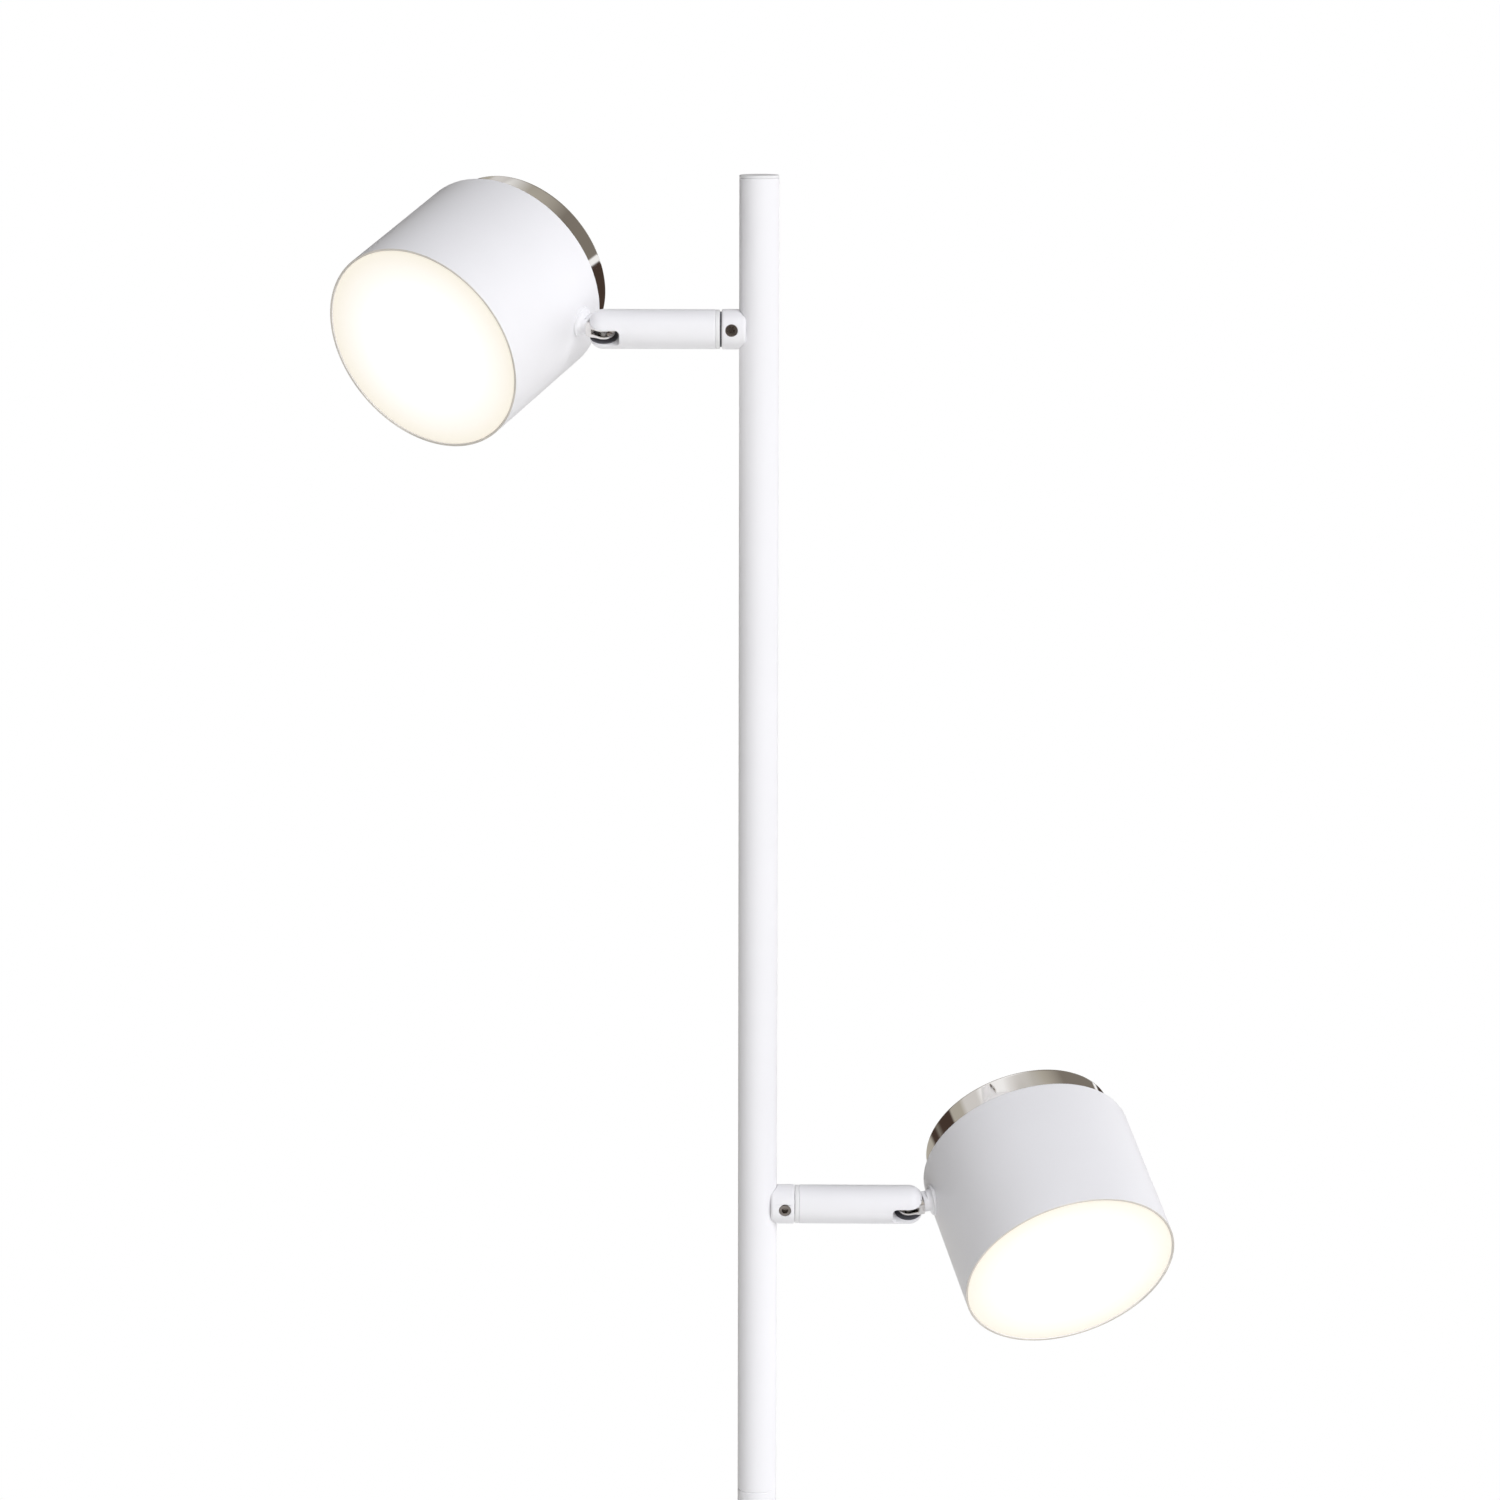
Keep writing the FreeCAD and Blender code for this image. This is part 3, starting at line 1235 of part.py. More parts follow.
def make_arm_lead(side):
    """From the stud's end to the slot. The cable's cores go on as a thin twin lead."""
    origin, direction = arm_axis(side)
    start = value(f"{stud_end(side)} + lead_gap")
    end = value(f"{along_arm(side, 'pivot')} - tongue_width / 2 - lead_gap")
    corners = [(origin + direction * start, 0), (origin + direction * end, 0)]
    tube(f"{side}_arm_lead", corners, value("lead_diameter"))


def make_head_lead(side):
    """From the tongue's groove through the stem and down to the driver."""
    frame = head_frame(side)
    start = value(f"tilt_screw_diameter / 2 + lead_gap - {SPOT_OFFSET}")
    drop = value("0 - driver_length / 2 + lead_turn")
    corners = [
        (frame.multVec(Vector(start, 0, 0)), 0),
        (frame.multVec(Vector(drop, 0, 0)), value("lead_turn")),
        (frame.multVec(Vector(drop, 0, value(DRIVER_TOP))), 0),
    ]
    tube(f"{side}_head_lead", corners, value("lead_diameter"))


def make_board_lead(side):
    """Straight from the driver through the heat sink to the back of the board."""
    frame = head_frame(side)
    foot = Vector(0, -value("board_lead_place"), value(DRIVER_TOP))
    head = Vector(0, -value("board_lead_place"), value(PLATE_FACE))
    tube(f"{side}_board_lead", [(frame.multVec(foot), 0), (frame.multVec(head), 0)], value("lead_diameter"))


# ---------------------------------------------------------------- the whole lamp


def check_and_write():
    """Stop on a failed feature or shape, then write one file for each node."""
    document.recompute()
    for item in document.Objects:
        if "Invalid" in item.State or "Error" in item.State:
            raise ValueError(f"{item.Label} failed: {item.State}")
    for name, item in nodes.items():
        if item.Shape.isNull() or not item.Shape.isValid() or not item.Shape.Solids:
            raise ValueError(f"{name} has no valid solid")
    os.makedirs("parts", exist_ok=True)
    for name, item in nodes.items():
        item.Shape.exportStep(f"parts/{name}.step")
    print(f"{len(nodes)} nodes")


def main():
    fill_sheet()
    make_base_cover()
    make_base_weight()
    make_base_pad()
    make_base_nut()
    make_cable_inlet()
    make_terminal_block()
    make_pole()
    make_pole_cap()
    make_pole_joints()
    make_set_screws()
    make_stud_hardware()
    for side in SIDES:
        make_coupler(side)
        make_stud(side)
        make_swivel_bush(side)
        make_arm(side)
        make_tilt_screw(side)
        make_tilt_washers(side)
        make_tongue(side)
        make_neck_flange(side)
        make_neck_nut(side)
        make_shell(side)
        make_rear_cover(side)
        make_heat_sink(side)
        make_led_board(side)
        make_leds(side)
        make_board_screws(side)
        make_reflector(side)
        make_diffuser(side)
        make_driver(side)
        make_pole_cable(side)
        make_arm_lead(side)
        make_head_lead(side)
        make_board_lead(side)
    check_and_write()


main()
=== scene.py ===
import json
import math
import bmesh
import bpy
from mathutils import Matrix, Vector


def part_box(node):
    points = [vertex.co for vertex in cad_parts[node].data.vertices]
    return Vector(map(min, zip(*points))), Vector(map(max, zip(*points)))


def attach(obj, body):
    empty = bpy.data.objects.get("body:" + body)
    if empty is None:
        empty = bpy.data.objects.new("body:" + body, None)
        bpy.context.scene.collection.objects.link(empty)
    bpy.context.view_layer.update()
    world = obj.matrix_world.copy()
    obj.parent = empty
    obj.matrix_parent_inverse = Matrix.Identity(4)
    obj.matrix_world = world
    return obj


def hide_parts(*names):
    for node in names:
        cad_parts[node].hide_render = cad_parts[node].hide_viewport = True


# The floor lamp's visible surfaces and its studio. Everything is in metres and in the frame of
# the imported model: Z is up, the pole stands on the Z axis and the viewer is on the -Y side.

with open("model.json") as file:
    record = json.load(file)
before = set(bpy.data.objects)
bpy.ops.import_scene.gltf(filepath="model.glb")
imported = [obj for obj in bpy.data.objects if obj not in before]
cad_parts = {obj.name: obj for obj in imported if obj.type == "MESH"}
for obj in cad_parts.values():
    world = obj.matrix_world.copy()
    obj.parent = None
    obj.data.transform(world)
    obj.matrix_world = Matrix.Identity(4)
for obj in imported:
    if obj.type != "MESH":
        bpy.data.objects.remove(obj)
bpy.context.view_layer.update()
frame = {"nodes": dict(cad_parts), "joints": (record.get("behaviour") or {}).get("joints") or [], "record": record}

bl_info = {
    "name": "Pole floor lamp with two spots",
    "version": (1, 0, 0),
    "blender": (4, 5, 0),
    "location": "3D View > Sidebar > Lamp",
    "description": "Makes the lamp's painted, chromed and glowing pieces and its studio",
    "category": "Object",
}

SIDES = ("upper", "lower")
JOINTS = {joint["name"]: joint for joint in frame["joints"]}
NODES = frame["nodes"]
SLOTS = {item["node"]: item["material_slot"] for item in frame["record"]["subparts"]}
BODIES = frame["record"]["behaviour"]["bodies"]
BODY_OF = {node: body for body, members in BODIES.items() for node in members}
SWIVEL_HEIGHT = {side: JOINTS[f"{side}_arm_swivel"]["pos_m"][2] for side in SIDES}
PIVOT = {side: Vector(JOINTS[f"{side}_head_tilt"]["pos_m"]) for side in SIDES}

# how finely round shapes are divided
CORNER_STEPS = 6
EDGE_STEPS = 3
SMALL_STEPS = 48
TUBE_STEPS = 96
ARM_STEPS = 128
DRUM_STEPS = 192
SAME_POINT = 1e-6
CARVED_EDGE = math.radians(40)
SHARP_EDGE = math.radians(32)
QUARTER_TURN = math.radians(90)

# how much of a way something takes
HOLE_START = 0.5
PAINTED_SHADE_RIM_FACES = 0.6
GLOW_FADE = (0.55, 0.97)
FLOOR_FADE = (0.12, 0.6)

# the mirrored room's left half turns into its right half over this much of the way across
ROOM_SIDES = (-0.15, 0.15)
SENSOR_WIDTH = 36.0
CLEAR_WHITE = (1.0, 1.0, 1.0, 1.0)


# ---------------------------------------------------------------- sizes and colours


def length(name, description, default):
    """Describe a size in metres."""
    return bpy.props.FloatProperty(
        name=name, description=description, default=default, min=0.0, precision=5, unit="LENGTH")


def turn(name, description, degrees):
    """Describe an angle."""
    return bpy.props.FloatProperty(
        name=name, description=description, default=math.radians(degrees), subtype="ANGLE")


def colour(name, description, default):
    """Describe a linear colour."""
    return bpy.props.FloatVectorProperty(
        name=name, description=description, default=default, size=3, min=0.0, max=1.0, subtype="COLOR")


def strength(name, description, default):
    """Describe a light's strength."""
    return bpy.props.FloatProperty(name=name, description=description, default=default, min=0.0)


class PoleSizes(bpy.types.PropertyGroup):
    diameter: length("Diameter", "Outside of the tube", 0.016)
    wall: length("Wall", "Tube wall", 0.0012)
    chamfer: length("Chamfer", "Broken edge at each section's ends", 0.0003)
    cap_edge: length("Cap edge", "Rounding of the disc on top", 0.0005)
    cap_stem_wall: length("Cap stem wall", "Wall of the plug inside the tube", 0.0015)
    cap_thickness: length("Cap thickness", "Disc on top of the pole", 0.0012)
    foot_radius: length("Foot radius", "Outside of the foot's cover", 0.12)
    foot_edge: length("Foot edge", "Rounding of the foot's upper edge", 0.006)
    foot_wall: length("Foot wall", "Pressed steel of the foot's cover", 0.0012)
    foot_bore: length("Foot bore", "Radius of the hole for the hollow stud", 0.00505)


class ArmSizes(bpy.types.PropertyGroup):
    coupler_diameter: length("Coupler diameter", "Socket on the pole", 0.0162)
    coupler_length: length("Coupler length", "Along the arm", 0.0098)
    coupler_edge: length("Coupler edge", "Rounding of its edges", 0.001)
    stud_hole: length("Stud hole", "Radius of the way through the coupler", 0.00405)
    screw_hole: length("Screw hole", "Radius of the set screw's hole", 0.00252)
    screw_place: length("Screw place", "Coupler's tip to the set screw", 0.0058)
    upper_screw_turn: turn("Upper screw turn", "Screw below the level", 0.0)
    lower_screw_turn: turn("Lower screw turn", "Screw below the level", 7.5)
    hole_edge: length("Hole edge", "Painted edge round the screw's hole", 0.0002)
    bush_flange: length("Bush flange", "Thin ring between coupler and arm", 0.0017)
    bush_diameter: length("Bush diameter", "Outside of that ring", 0.0158)
    bush_edge: length("Bush edge", "Rounding of that ring", 0.00035)
    bush_spigot: length("Bush spigot", "Bush inside the arm", 0.005)
    diameter: length("Diameter", "Round bar", 0.016)
    length: length("Length", "Thin ring to the rounded end", 0.0508)
    foot_edge: length("Foot edge", "Rounding at the ring", 0.0004)
    end_radius: length("End radius", "Rounding of the far end", 0.0055)
    bore: length("Bore", "Radius of the hollow round the nut", 0.0062)
    bore_depth: length("Bore depth", "That hollow from the ring", 0.014)
    lead_bore: length("Lead bore", "Radius of the lead way", 0.002)
    slot_width: length("Slot width", "Between the two ears", 0.007)
    slot_depth: length("Slot depth", "From the far end", 0.0122)
    slot_corner: length("Slot corner", "Rounding of the slot's inner end", 0.0018)
    slot_edge: length("Slot edge", "Painted edges of the slot", 0.00025)
    pivot_setback: length("Pivot setback", "Far end to the tilt axis", 0.0058)
    # the washers reach past the tongue so their dark edges show in the slot's gaps: partly real dark nylon, partly
    # painted shade there
    washer_radius: length("Washer radius", "Friction washers beside the tongue", 0.0057)
    washer_thickness: length("Washer thickness", "Friction washers", 0.0005)
    washer_gap: length("Washer gap", "Washer to the slot's wall", 0.00002)
    washer_bore: length("Washer bore", "Radius of the hole for the screw", 0.00152)
    screw_head: length("Screw head", "Radius of the tilt screw's pocket", 0.00285)
    screw_floor: length("Screw floor", "Arm's axis to that pocket's floor", 0.0053)


class SpotSizes(bpy.types.PropertyGroup):
    diameter: length("Diameter", "Outside of the drum", 0.089)
    wall: length("Wall", "Drum wall", 0.001)
    front_reach: length("Front reach", "Neck's axis to the front rim", 0.049)
    length: length("Length", "Front rim to the drum's rear", 0.0632)
    rear_radius: length("Rear radius", "Rounding of the drum's rear edge", 0.0009)
    rim_edge: length("Rim edge", "Rounding of the front rim", 0.00025)
    cup_step: length("Cup step", "Drum's side to the chrome cup's side", 0.0045)
    cup_length: length("Cup length", "Chrome cup behind the drum", 0.0122)
    cup_radius: length("Cup radius", "Rounding of the cup's edge", 0.0015)
    cup_wall: length("Cup wall", "Wall of the cup", 0.0008)
    cup_lip: length("Cup lip", "Cup's lip inside the drum", 0.0012)
    disc_sink: length("Disc sink", "Opal disc below the front rim", 0.0003)
    disc_edge: length("Disc edge", "Rounding of the disc's edge", 0.0006)
    disc_thickness: length("Disc thickness", "Opal disc", 0.002)
    disc_skirt: length("Disc skirt", "Disc's rim, front to back", 0.0075)
    disc_skirt_wall: length("Disc skirt wall", "Wall of that rim", 0.0015)
    neck_length: length("Neck length", "Tilt axis to the drum's side", 0.0105)
    flange_diameter: length("Flange diameter", "Seat on the drum", 0.0124)
    flange_rim: length("Flange rim", "Rim of that seat", 0.0009)
    flange_edge: length("Flange edge", "Rounding of that rim", 0.0003)
    neck_diameter: length("Neck diameter", "Seat's end at the tongue", 0.0086)
    neck_flare: length("Neck flare", "Hollow curve from the neck to the rim", 0.0018)
    neck_round_reach: length("Neck round reach", "Tilt axis to the seat's full round", 0.0076)
    neck_foot_half: length("Neck foot half", "Half of the seat's flat-sided foot", 0.00335)
    neck_foot_edge: length("Neck foot edge", "Rounding of the foot's flats", 0.00015)
    stem: length("Stem", "Radius of the tongue's stem", 0.0024)
    tongue_width: length("Tongue width", "Chrome tongue, across the slot's plane", 0.009)
    tongue_thickness: length("Tongue thickness", "Outside of both cheeks", 0.0057)
    tongue_reach: length("Tongue reach", "Tilt axis to the flange", 0.006)
    tongue_edge: length("Tongue edge", "Rounding of the cheeks", 0.0003)
    groove_width: length("Groove width", "Between the cheeks", 0.0022)
    groove_end: length("Groove end", "Groove past the tilt axis", 0.0034)
    upper_tilt: turn("Upper tilt", "Upper neck turned back from its arm's line", 30.0)
    lower_tilt: turn("Lower tilt", "Lower neck turned back from its arm's line", 15.2)
    upper_twist: turn("Upper twist", "Upper spot turned on its neck", 0.0)
    lower_twist: turn("Lower twist", "Lower spot turned on its neck", 6.5)


class LampColours(bpy.types.PropertyGroup):
    paint: colour("Paint", "Satin powder coat", (0.87, 0.865, 0.88))
    # the rim tone is painted shade: the drum's front edge is white paint, darkened here to look shaded beside the
    # bright disc
    rim: colour("Rim", "Bare edge round the opal disc", (0.66, 0.62, 0.56))
    chrome: colour("Chrome", "Polished plate", (0.86, 0.84, 0.82))
    steel: colour("Steel", "Zinc plate", (0.62, 0.62, 0.63))
    screw: colour("Screw", "Dark steel of the set screws", (0.3, 0.27, 0.25))
    iron: colour("Iron", "Casting of the foot's weight", (0.05, 0.05, 0.05))
    foam: colour("Foam", "Pad under the foot", (0.03, 0.03, 0.03))
    plastic: colour("Plastic", "White mouldings", (0.84, 0.84, 0.84))
    nylon: colour("Nylon", "Friction washers", (0.05, 0.05, 0.055))
    aluminium: colour("Aluminium", "Heat sink", (0.72, 0.72, 0.73))
    board: colour("Board", "White solder mask", (0.88, 0.88, 0.86))
    phosphor: colour("Phosphor", "Chips' coating", (0.90, 0.68, 0.16))
    opal: colour("Opal", "Disc without its own light", (0.50, 0.48, 0.45))
    glow: colour("Glow", "Light in the middle of the disc", (0.72, 0.72, 0.72))
    glow_edge: colour("Glow edge", "Light near the disc's rim", (0.56, 0.52, 0.43))
    case: colour("Case", "Potted driver", (0.72, 0.72, 0.70))
    sheath: colour("Sheath", "Cable in the pole", (0.80, 0.80, 0.79))
    lead: colour("Lead", "Leads in the arms and spots", (0.04, 0.04, 0.045))


class StudioSettings(bpy.types.PropertyGroup):
    focal: bpy.props.FloatProperty(
        name="Focal length", description="Of the camera, in mm", default=122.75, min=1.0)
    camera_x: bpy.props.FloatProperty(
        name="Camera X", description="Camera's place", default=0.0158, unit="LENGTH")
    camera_y: bpy.props.FloatProperty(
        name="Camera Y", description="Camera's place", default=-2.056, unit="LENGTH")
    camera_z: length("Camera Z", "Camera's place", 1.7494)
    pitch: turn("Pitch", "Camera looks down", 9.019)
    yaw: turn("Yaw", "Camera looks to the right", -0.534)
    roll: turn("Roll", "Camera turned on its axis", 0.097)
    key_strength: strength("Key", "Soft light from the right", 2.56)
    key_azimuth: turn("Key azimuth", "To the right of the viewer", 30.0)
    key_height: turn("Key height", "Above the level", 38.0)
    side_strength: strength("Side", "Soft light from behind on the right", 1.5)
    side_azimuth: turn("Side azimuth", "To the right of the viewer", 135.0)
    side_height: turn("Side height", "Above the level", 5.0)
    lamp_size: turn("Lamp size", "How soft both lights are", 50.0)
    lamp_colour: colour("Lamp colour", "Daylight", (0.96, 0.965, 1.0))
    sky: colour("Sky", "Light from all round, above the level", (0.05, 0.05, 0.05))
    ground: colour("Ground", "Light from below the level", (1.0, 0.99, 0.97))
    floor: colour("Floor", "Pale floor", (0.86, 0.86, 0.86))
    floor_radius: length("Floor radius", "Round floor", 2.6)


# ---------------------------------------------------------------- places


def placement(origin, x_axis, z_axis):
    """Return the matrix that puts a piece at origin with its X and Z turned to these axes."""
    matrix = Matrix((x_axis, z_axis.cross(x_axis), z_axis)).transposed().to_4x4()
    matrix.translation = origin
    return matrix


def arm_direction(side):
    """Return the direction in which an arm leaves the pole."""
    return Vector((-1, 0, 0)) if side == "upper" else Vector((1, 0, 0))


def aim(side):
    """Return the direction in the slot's plane, square to the arm, to which the spot faces."""
    sign = -1 if side == "upper" else 1
    upward = Vector(JOINTS[f"{side}_head_tilt"]["axis"]) * sign
    return Vector((1, 0, 0)).cross(upward)


def coupler_place(side):
    """Z runs out along the arm from the pole's axis and X faces the viewer."""
    origin = Vector((0, 0, SWIVEL_HEIGHT[side]))
    return placement(origin, Vector((0, -1, 0)), arm_direction(side))


def arm_place(side, arm):
    """Z runs out along the arm from the thin ring and Y leaves the upper ear."""
    origin = PIVOT[side] - arm_direction(side) * (arm.length - arm.pivot_setback)
    sign = 1 if side == "upper" else -1
    return placement(origin, aim(side) * sign, arm_direction(side))


def neck_axes(side, spot):
    """Return the neck's direction and that of the tongue's front."""
    tilt = getattr(spot, f"{side}_tilt")
    neck = arm_direction(side) * math.cos(tilt) - aim(side) * math.sin(tilt)
    front = aim(side) * math.cos(tilt) + arm_direction(side) * math.sin(tilt)
    return neck, front


def spot_front(side, spot):
    """Return the direction that the spot faces."""
    neck, front = neck_axes(side, spot)
    twist = getattr(spot, f"{side}_twist")
    return front * math.cos(twist) + neck.cross(front) * math.sin(twist)


def tongue_place(side, spot):
    """Z runs along the neck from the tilt axis and X to the tongue's front."""
    neck, front = neck_axes(side, spot)
    return placement(PIVOT[side], front, neck)


def neck_place(side, spot):
    """Z runs along the neck from the tilt axis and X the way that the spot faces."""
    neck, _ = neck_axes(side, spot)
    return placement(PIVOT[side], spot_front(side, spot), neck)


def spot_offset(spot):
    """Return the way from the tilt axis to the spot's own axis."""
    return spot.neck_length + spot.diameter / 2


def spot_place(side, spot):
    """Z is the spot's axis, towards the front, and X runs away from the arm."""
    neck, _ = neck_axes(side, spot)
    return placement(PIVOT[side] + neck * spot_offset(spot), neck, spot_front(side, spot))


# ---------------------------------------------------------------- making pieces


def draw_wire(corners, closed, across="X", up="Z"):
    """Start a bmesh with a wire through (across, up, rounding) corners."""
    mesh = bmesh.new()
    points = []
    for corner in corners:
        place = {"X": 0.0, "Y": 0.0, "Z": 0.0}
        place[across] = corner[0]
        place[up] = corner[1]
        points.append(mesh.verts.new((place["X"], place["Y"], place["Z"])))
    for first, second in zip(points, points[1:]):
        mesh.edges.new((first, second))
    if closed:
        mesh.edges.new((points[-1], points[0]))
    for point, corner in zip(points, corners):
        if len(corner) == 3:
            bmesh.ops.bevel(
                mesh, geom=[point], offset=corner[2], offset_type="OFFSET", segments=CORNER_STEPS,
                profile=0.5, affect="VERTICES", material=-1)
    return mesh


def spin_round(corners, closed=True, steps=TUBE_STEPS):
    """Turn a wire of (radius, height, rounding) corners about Z into a solid."""
    mesh = draw_wire(corners, closed)
    bmesh.ops.spin(
        mesh, geom=mesh.verts[:] + mesh.edges[:], cent=(0, 0, 0), axis=(0, 0, 1), angle=math.tau,
        steps=steps, use_merge=True)
    bmesh.ops.remove_doubles(mesh, verts=mesh.verts, dist=SAME_POINT)
    bmesh.ops.recalc_face_normals(mesh, faces=mesh.faces)
    return mesh


def cut_plate(corners, thickness, across, up):
    """Fill a wire and extrude it to both sides of its plane."""
    mesh = draw_wire(corners, True, across, up)
    bmesh.ops.contextual_create(mesh, geom=mesh.edges[:])
    grown = bmesh.ops.extrude_face_region(mesh, geom=mesh.faces[:])["geom"]
    side = Vector([0.0 if axis in (across, up) else thickness for axis in "XYZ"])
    moved = [item for item in grown if isinstance(item, bmesh.types.BMVert)]
    bmesh.ops.translate(mesh, verts=moved, vec=side)
    bmesh.ops.translate(mesh, verts=mesh.verts, vec=-side / 2)
    bmesh.ops.recalc_face_normals(mesh, faces=mesh.faces)
    return mesh


def round_bar(radius, start, end):
    """Make a solid bar along Z."""
    mesh = bmesh.new()
    bmesh.ops.create_cone(
        mesh, cap_ends=True, segments=SMALL_STEPS, radius1=radius, radius2=radius, depth=end - start)
    bmesh.ops.translate(mesh, verts=mesh.verts, vec=(0, 0, (start + end) / 2))
    return mesh


def join(mesh, other):
    """Add another bmesh's shape to a bmesh."""
    data = bpy.data.meshes.new("joined")
    other.to_mesh(data)
    other.free()
    mesh.from_mesh(data)
    bpy.data.meshes.remove(data)


def new_object(mesh, name):
    """Keep a bmesh as an object at the origin."""
    data = bpy.data.meshes.new(name)
    mesh.to_mesh(data)
    mesh.free()
    made = bpy.data.objects.new(name, data)
    bpy.context.scene.collection.objects.link(made)
    return made


def carve(mesh, cutters, edge):
    """Cut other shapes out of a bmesh and round the edges that are left."""
    piece = new_object(mesh, "carved")
    tools = [new_object(cutter, "cutter") for cutter in cutters]
    for tool in tools:
        cut = piece.modifiers.new("cut", "BOOLEAN")
        cut.operation = "DIFFERENCE"
        cut.solver = "EXACT"
        cut.object = tool
    soften = piece.modifiers.new("edge", "BEVEL")
    soften.width = edge
    soften.segments = EDGE_STEPS
    soften.limit_method = "ANGLE"
    soften.angle_limit = CARVED_EDGE
    soften.use_clamp_overlap = False
    evaluated = piece.evaluated_get(bpy.context.evaluated_depsgraph_get())
    result = bmesh.new()
    result.from_mesh(evaluated.to_mesh())
    evaluated.to_mesh_clear()
    for thing in (piece, *tools):
        data = thing.data
        bpy.data.objects.remove(thing)
        bpy.data.meshes.remove(data)
    return result


def finish_piece(mesh, name, node, finish, place=None):
    """Put a bmesh in its place as the piece that stands for a CAD node."""
    if place is not None:
        mesh.transform(place)
    piece = new_object(mesh, name)
    piece.data.shade_smooth()
    piece.data.set_sharp_from_angle(angle=SHARP_EDGE)
    piece.data.materials.append(finish)
    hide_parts(node)
    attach(piece, BODY_OF[node])
    return piece


def dress(node, finish):
    """Give a CAD node its finish."""
    for slot in NODES[node].material_slots:
        slot.material = finish


# ---------------------------------------------------------------- finishes


class Finish:
    """A node-based material on object coordinates."""

    def __init__(self, name):
        self.material = bpy.data.materials.new(name)
        self.material.use_nodes = True
        self.nodes = self.material.node_tree.nodes
        self.links = self.material.node_tree.links
        self.shader = self.nodes["Principled BSDF"]
        self.place = self.nodes.new("ShaderNodeTexCoord").outputs["Object"]

    def set(self, **numbers):
        """Set constants on the shader's own sockets."""
        for name, number in numbers.items():
            self.shader.inputs[name.replace("_", " ")].default_value = number

    def noise(self, scale, detail=3.0, stretch=None):
        """Return a noise pattern. Stretch scales the pattern's axes."""
        texture = self.nodes.new("ShaderNodeTexNoise")
        texture.inputs["Scale"].default_value = scale
        texture.inputs["Detail"].default_value = detail
        source = self.place
        if stretch:
            mapping = self.nodes.new("ShaderNodeMapping")
            mapping.inputs["Scale"].default_value = stretch
            self.links.new(source, mapping.inputs["Vector"])
            source = mapping.outputs["Vector"]
        self.links.new(source, texture.inputs["Vector"])
        return texture.outputs["Fac"]

    def spread(self, source, low, high, start=0.3, end=0.7):
        """Map a pattern to a range."""
        node = self.nodes.new("ShaderNodeMapRange")
        node.inputs["From Min"].default_value = start
        node.inputs["From Max"].default_value = end
        node.inputs["To Min"].default_value = low
        node.inputs["To Max"].default_value = high
        self.links.new(source, node.inputs["Value"])
        return node.outputs["Result"]

    def blend(self, source, first, second, start=0.3, end=0.7):
        """Run from one colour to another along a pattern."""
        node = self.nodes.new("ShaderNodeValToRGB")
        low, high = node.color_ramp.elements
        low.position, low.color = start, (*first, 1.0)
        high.position, high.color = end, (*second, 1.0)
        self.links.new(source, node.inputs["Fac"])
        return node.outputs["Color"]

    def roughen(self, source, low, high):
        """Let the roughness follow a pattern."""
        self.links.new(self.spread(source, low, high), self.shader.inputs["Roughness"])

    def colour(self, source):
        """Take the colour from a pattern."""
        self.links.new(source, self.shader.inputs["Base Color"])

    def bump(self, source, depth):
        """Raise the surface by a pattern, to a depth in metres."""
        node = self.nodes.new("ShaderNodeBump")
        node.inputs["Distance"].default_value = depth
        node.inputs["Strength"].default_value = 1.0
        self.links.new(source, node.inputs["Height"])
        self.links.new(node.outputs["Normal"], self.shader.inputs["Normal"])


def shade(tone, factor):
    """Make a colour lighter or darker."""
    return tuple(min(1.0, channel * factor) for channel in tone)


def powder_coat(colours):
    """Satin white powder coat with its fine orange peel."""
    finish = Finish("powder_coat")
    finish.colour(finish.blend(finish.noise(35.0), shade(colours.paint, 0.985), colours.paint))
    finish.roughen(finish.noise(260.0), 0.36, 0.46)
    finish.bump(finish.noise(1400.0, 2.0), 0.000012)
    finish.set(IOR=1.45)
    return finish.material


def rim_edge(colours):
    """The drum's white front edge, darkened to a beige as painted shade beside the bright disc."""
    finish = Finish("rim_edge")
    cloudy = finish.noise(60.0)
    finish.colour(finish.blend(cloudy, shade(colours.rim, 0.85), shade(colours.rim, 1.15)))
    finish.roughen(finish.noise(400.0), 0.4, 0.55)
    return finish.material


def chrome_plate(colours):
    """Polished chrome with faint polishing marks."""
    finish = Finish("chrome_plate")
    finish.colour(finish.blend(finish.noise(40.0), shade(colours.chrome, 0.96), colours.chrome))
    finish.roughen(finish.noise(180.0), 0.04, 0.08)
    finish.bump(finish.noise(90.0, 1.0), 0.000004)
    finish.set(Metallic=1.0)
    return finish.material


def plated_steel(name, tone):
    """Plated steel, slightly cloudy."""
    finish = Finish(name)
    finish.colour(finish.blend(finish.noise(300.0), shade(tone, 0.8), shade(tone, 1.1)))
    finish.roughen(finish.noise(900.0), 0.22, 0.4)
    finish.set(Metallic=1.0)
    return finish.material


def iron_casting(colours):
    """Rough dark casting."""
    finish = Finish("iron_casting")
    finish.colour(finish.blend(finish.noise(120.0), colours.iron, shade(colours.iron, 2.0)))
    finish.roughen(finish.noise(200.0), 0.6, 0.85)
    finish.bump(finish.noise(700.0, 6.0), 0.0002)
    finish.set(Metallic=0.6)
    return finish.material


def closed_foam(colours):
    """Dark foam with closed cells."""
    finish = Finish("closed_foam")
    finish.colour(finish.blend(finish.noise(500.0), colours.foam, shade(colours.foam, 1.8)))
    finish.roughen(finish.noise(500.0), 0.85, 0.95)
    finish.bump(finish.noise(1500.0, 4.0), 0.00015)
    return finish.material


def moulded_plastic(name, tone, low=0.3, high=0.42):
    """Plain moulded plastic with a fine texture."""
    finish = Finish(name)
    finish.colour(finish.blend(finish.noise(80.0), shade(tone, 0.95), tone))
    finish.roughen(finish.noise(500.0), low, high)
    finish.bump(finish.noise(2500.0, 2.0), 0.000008)
    return finish.material


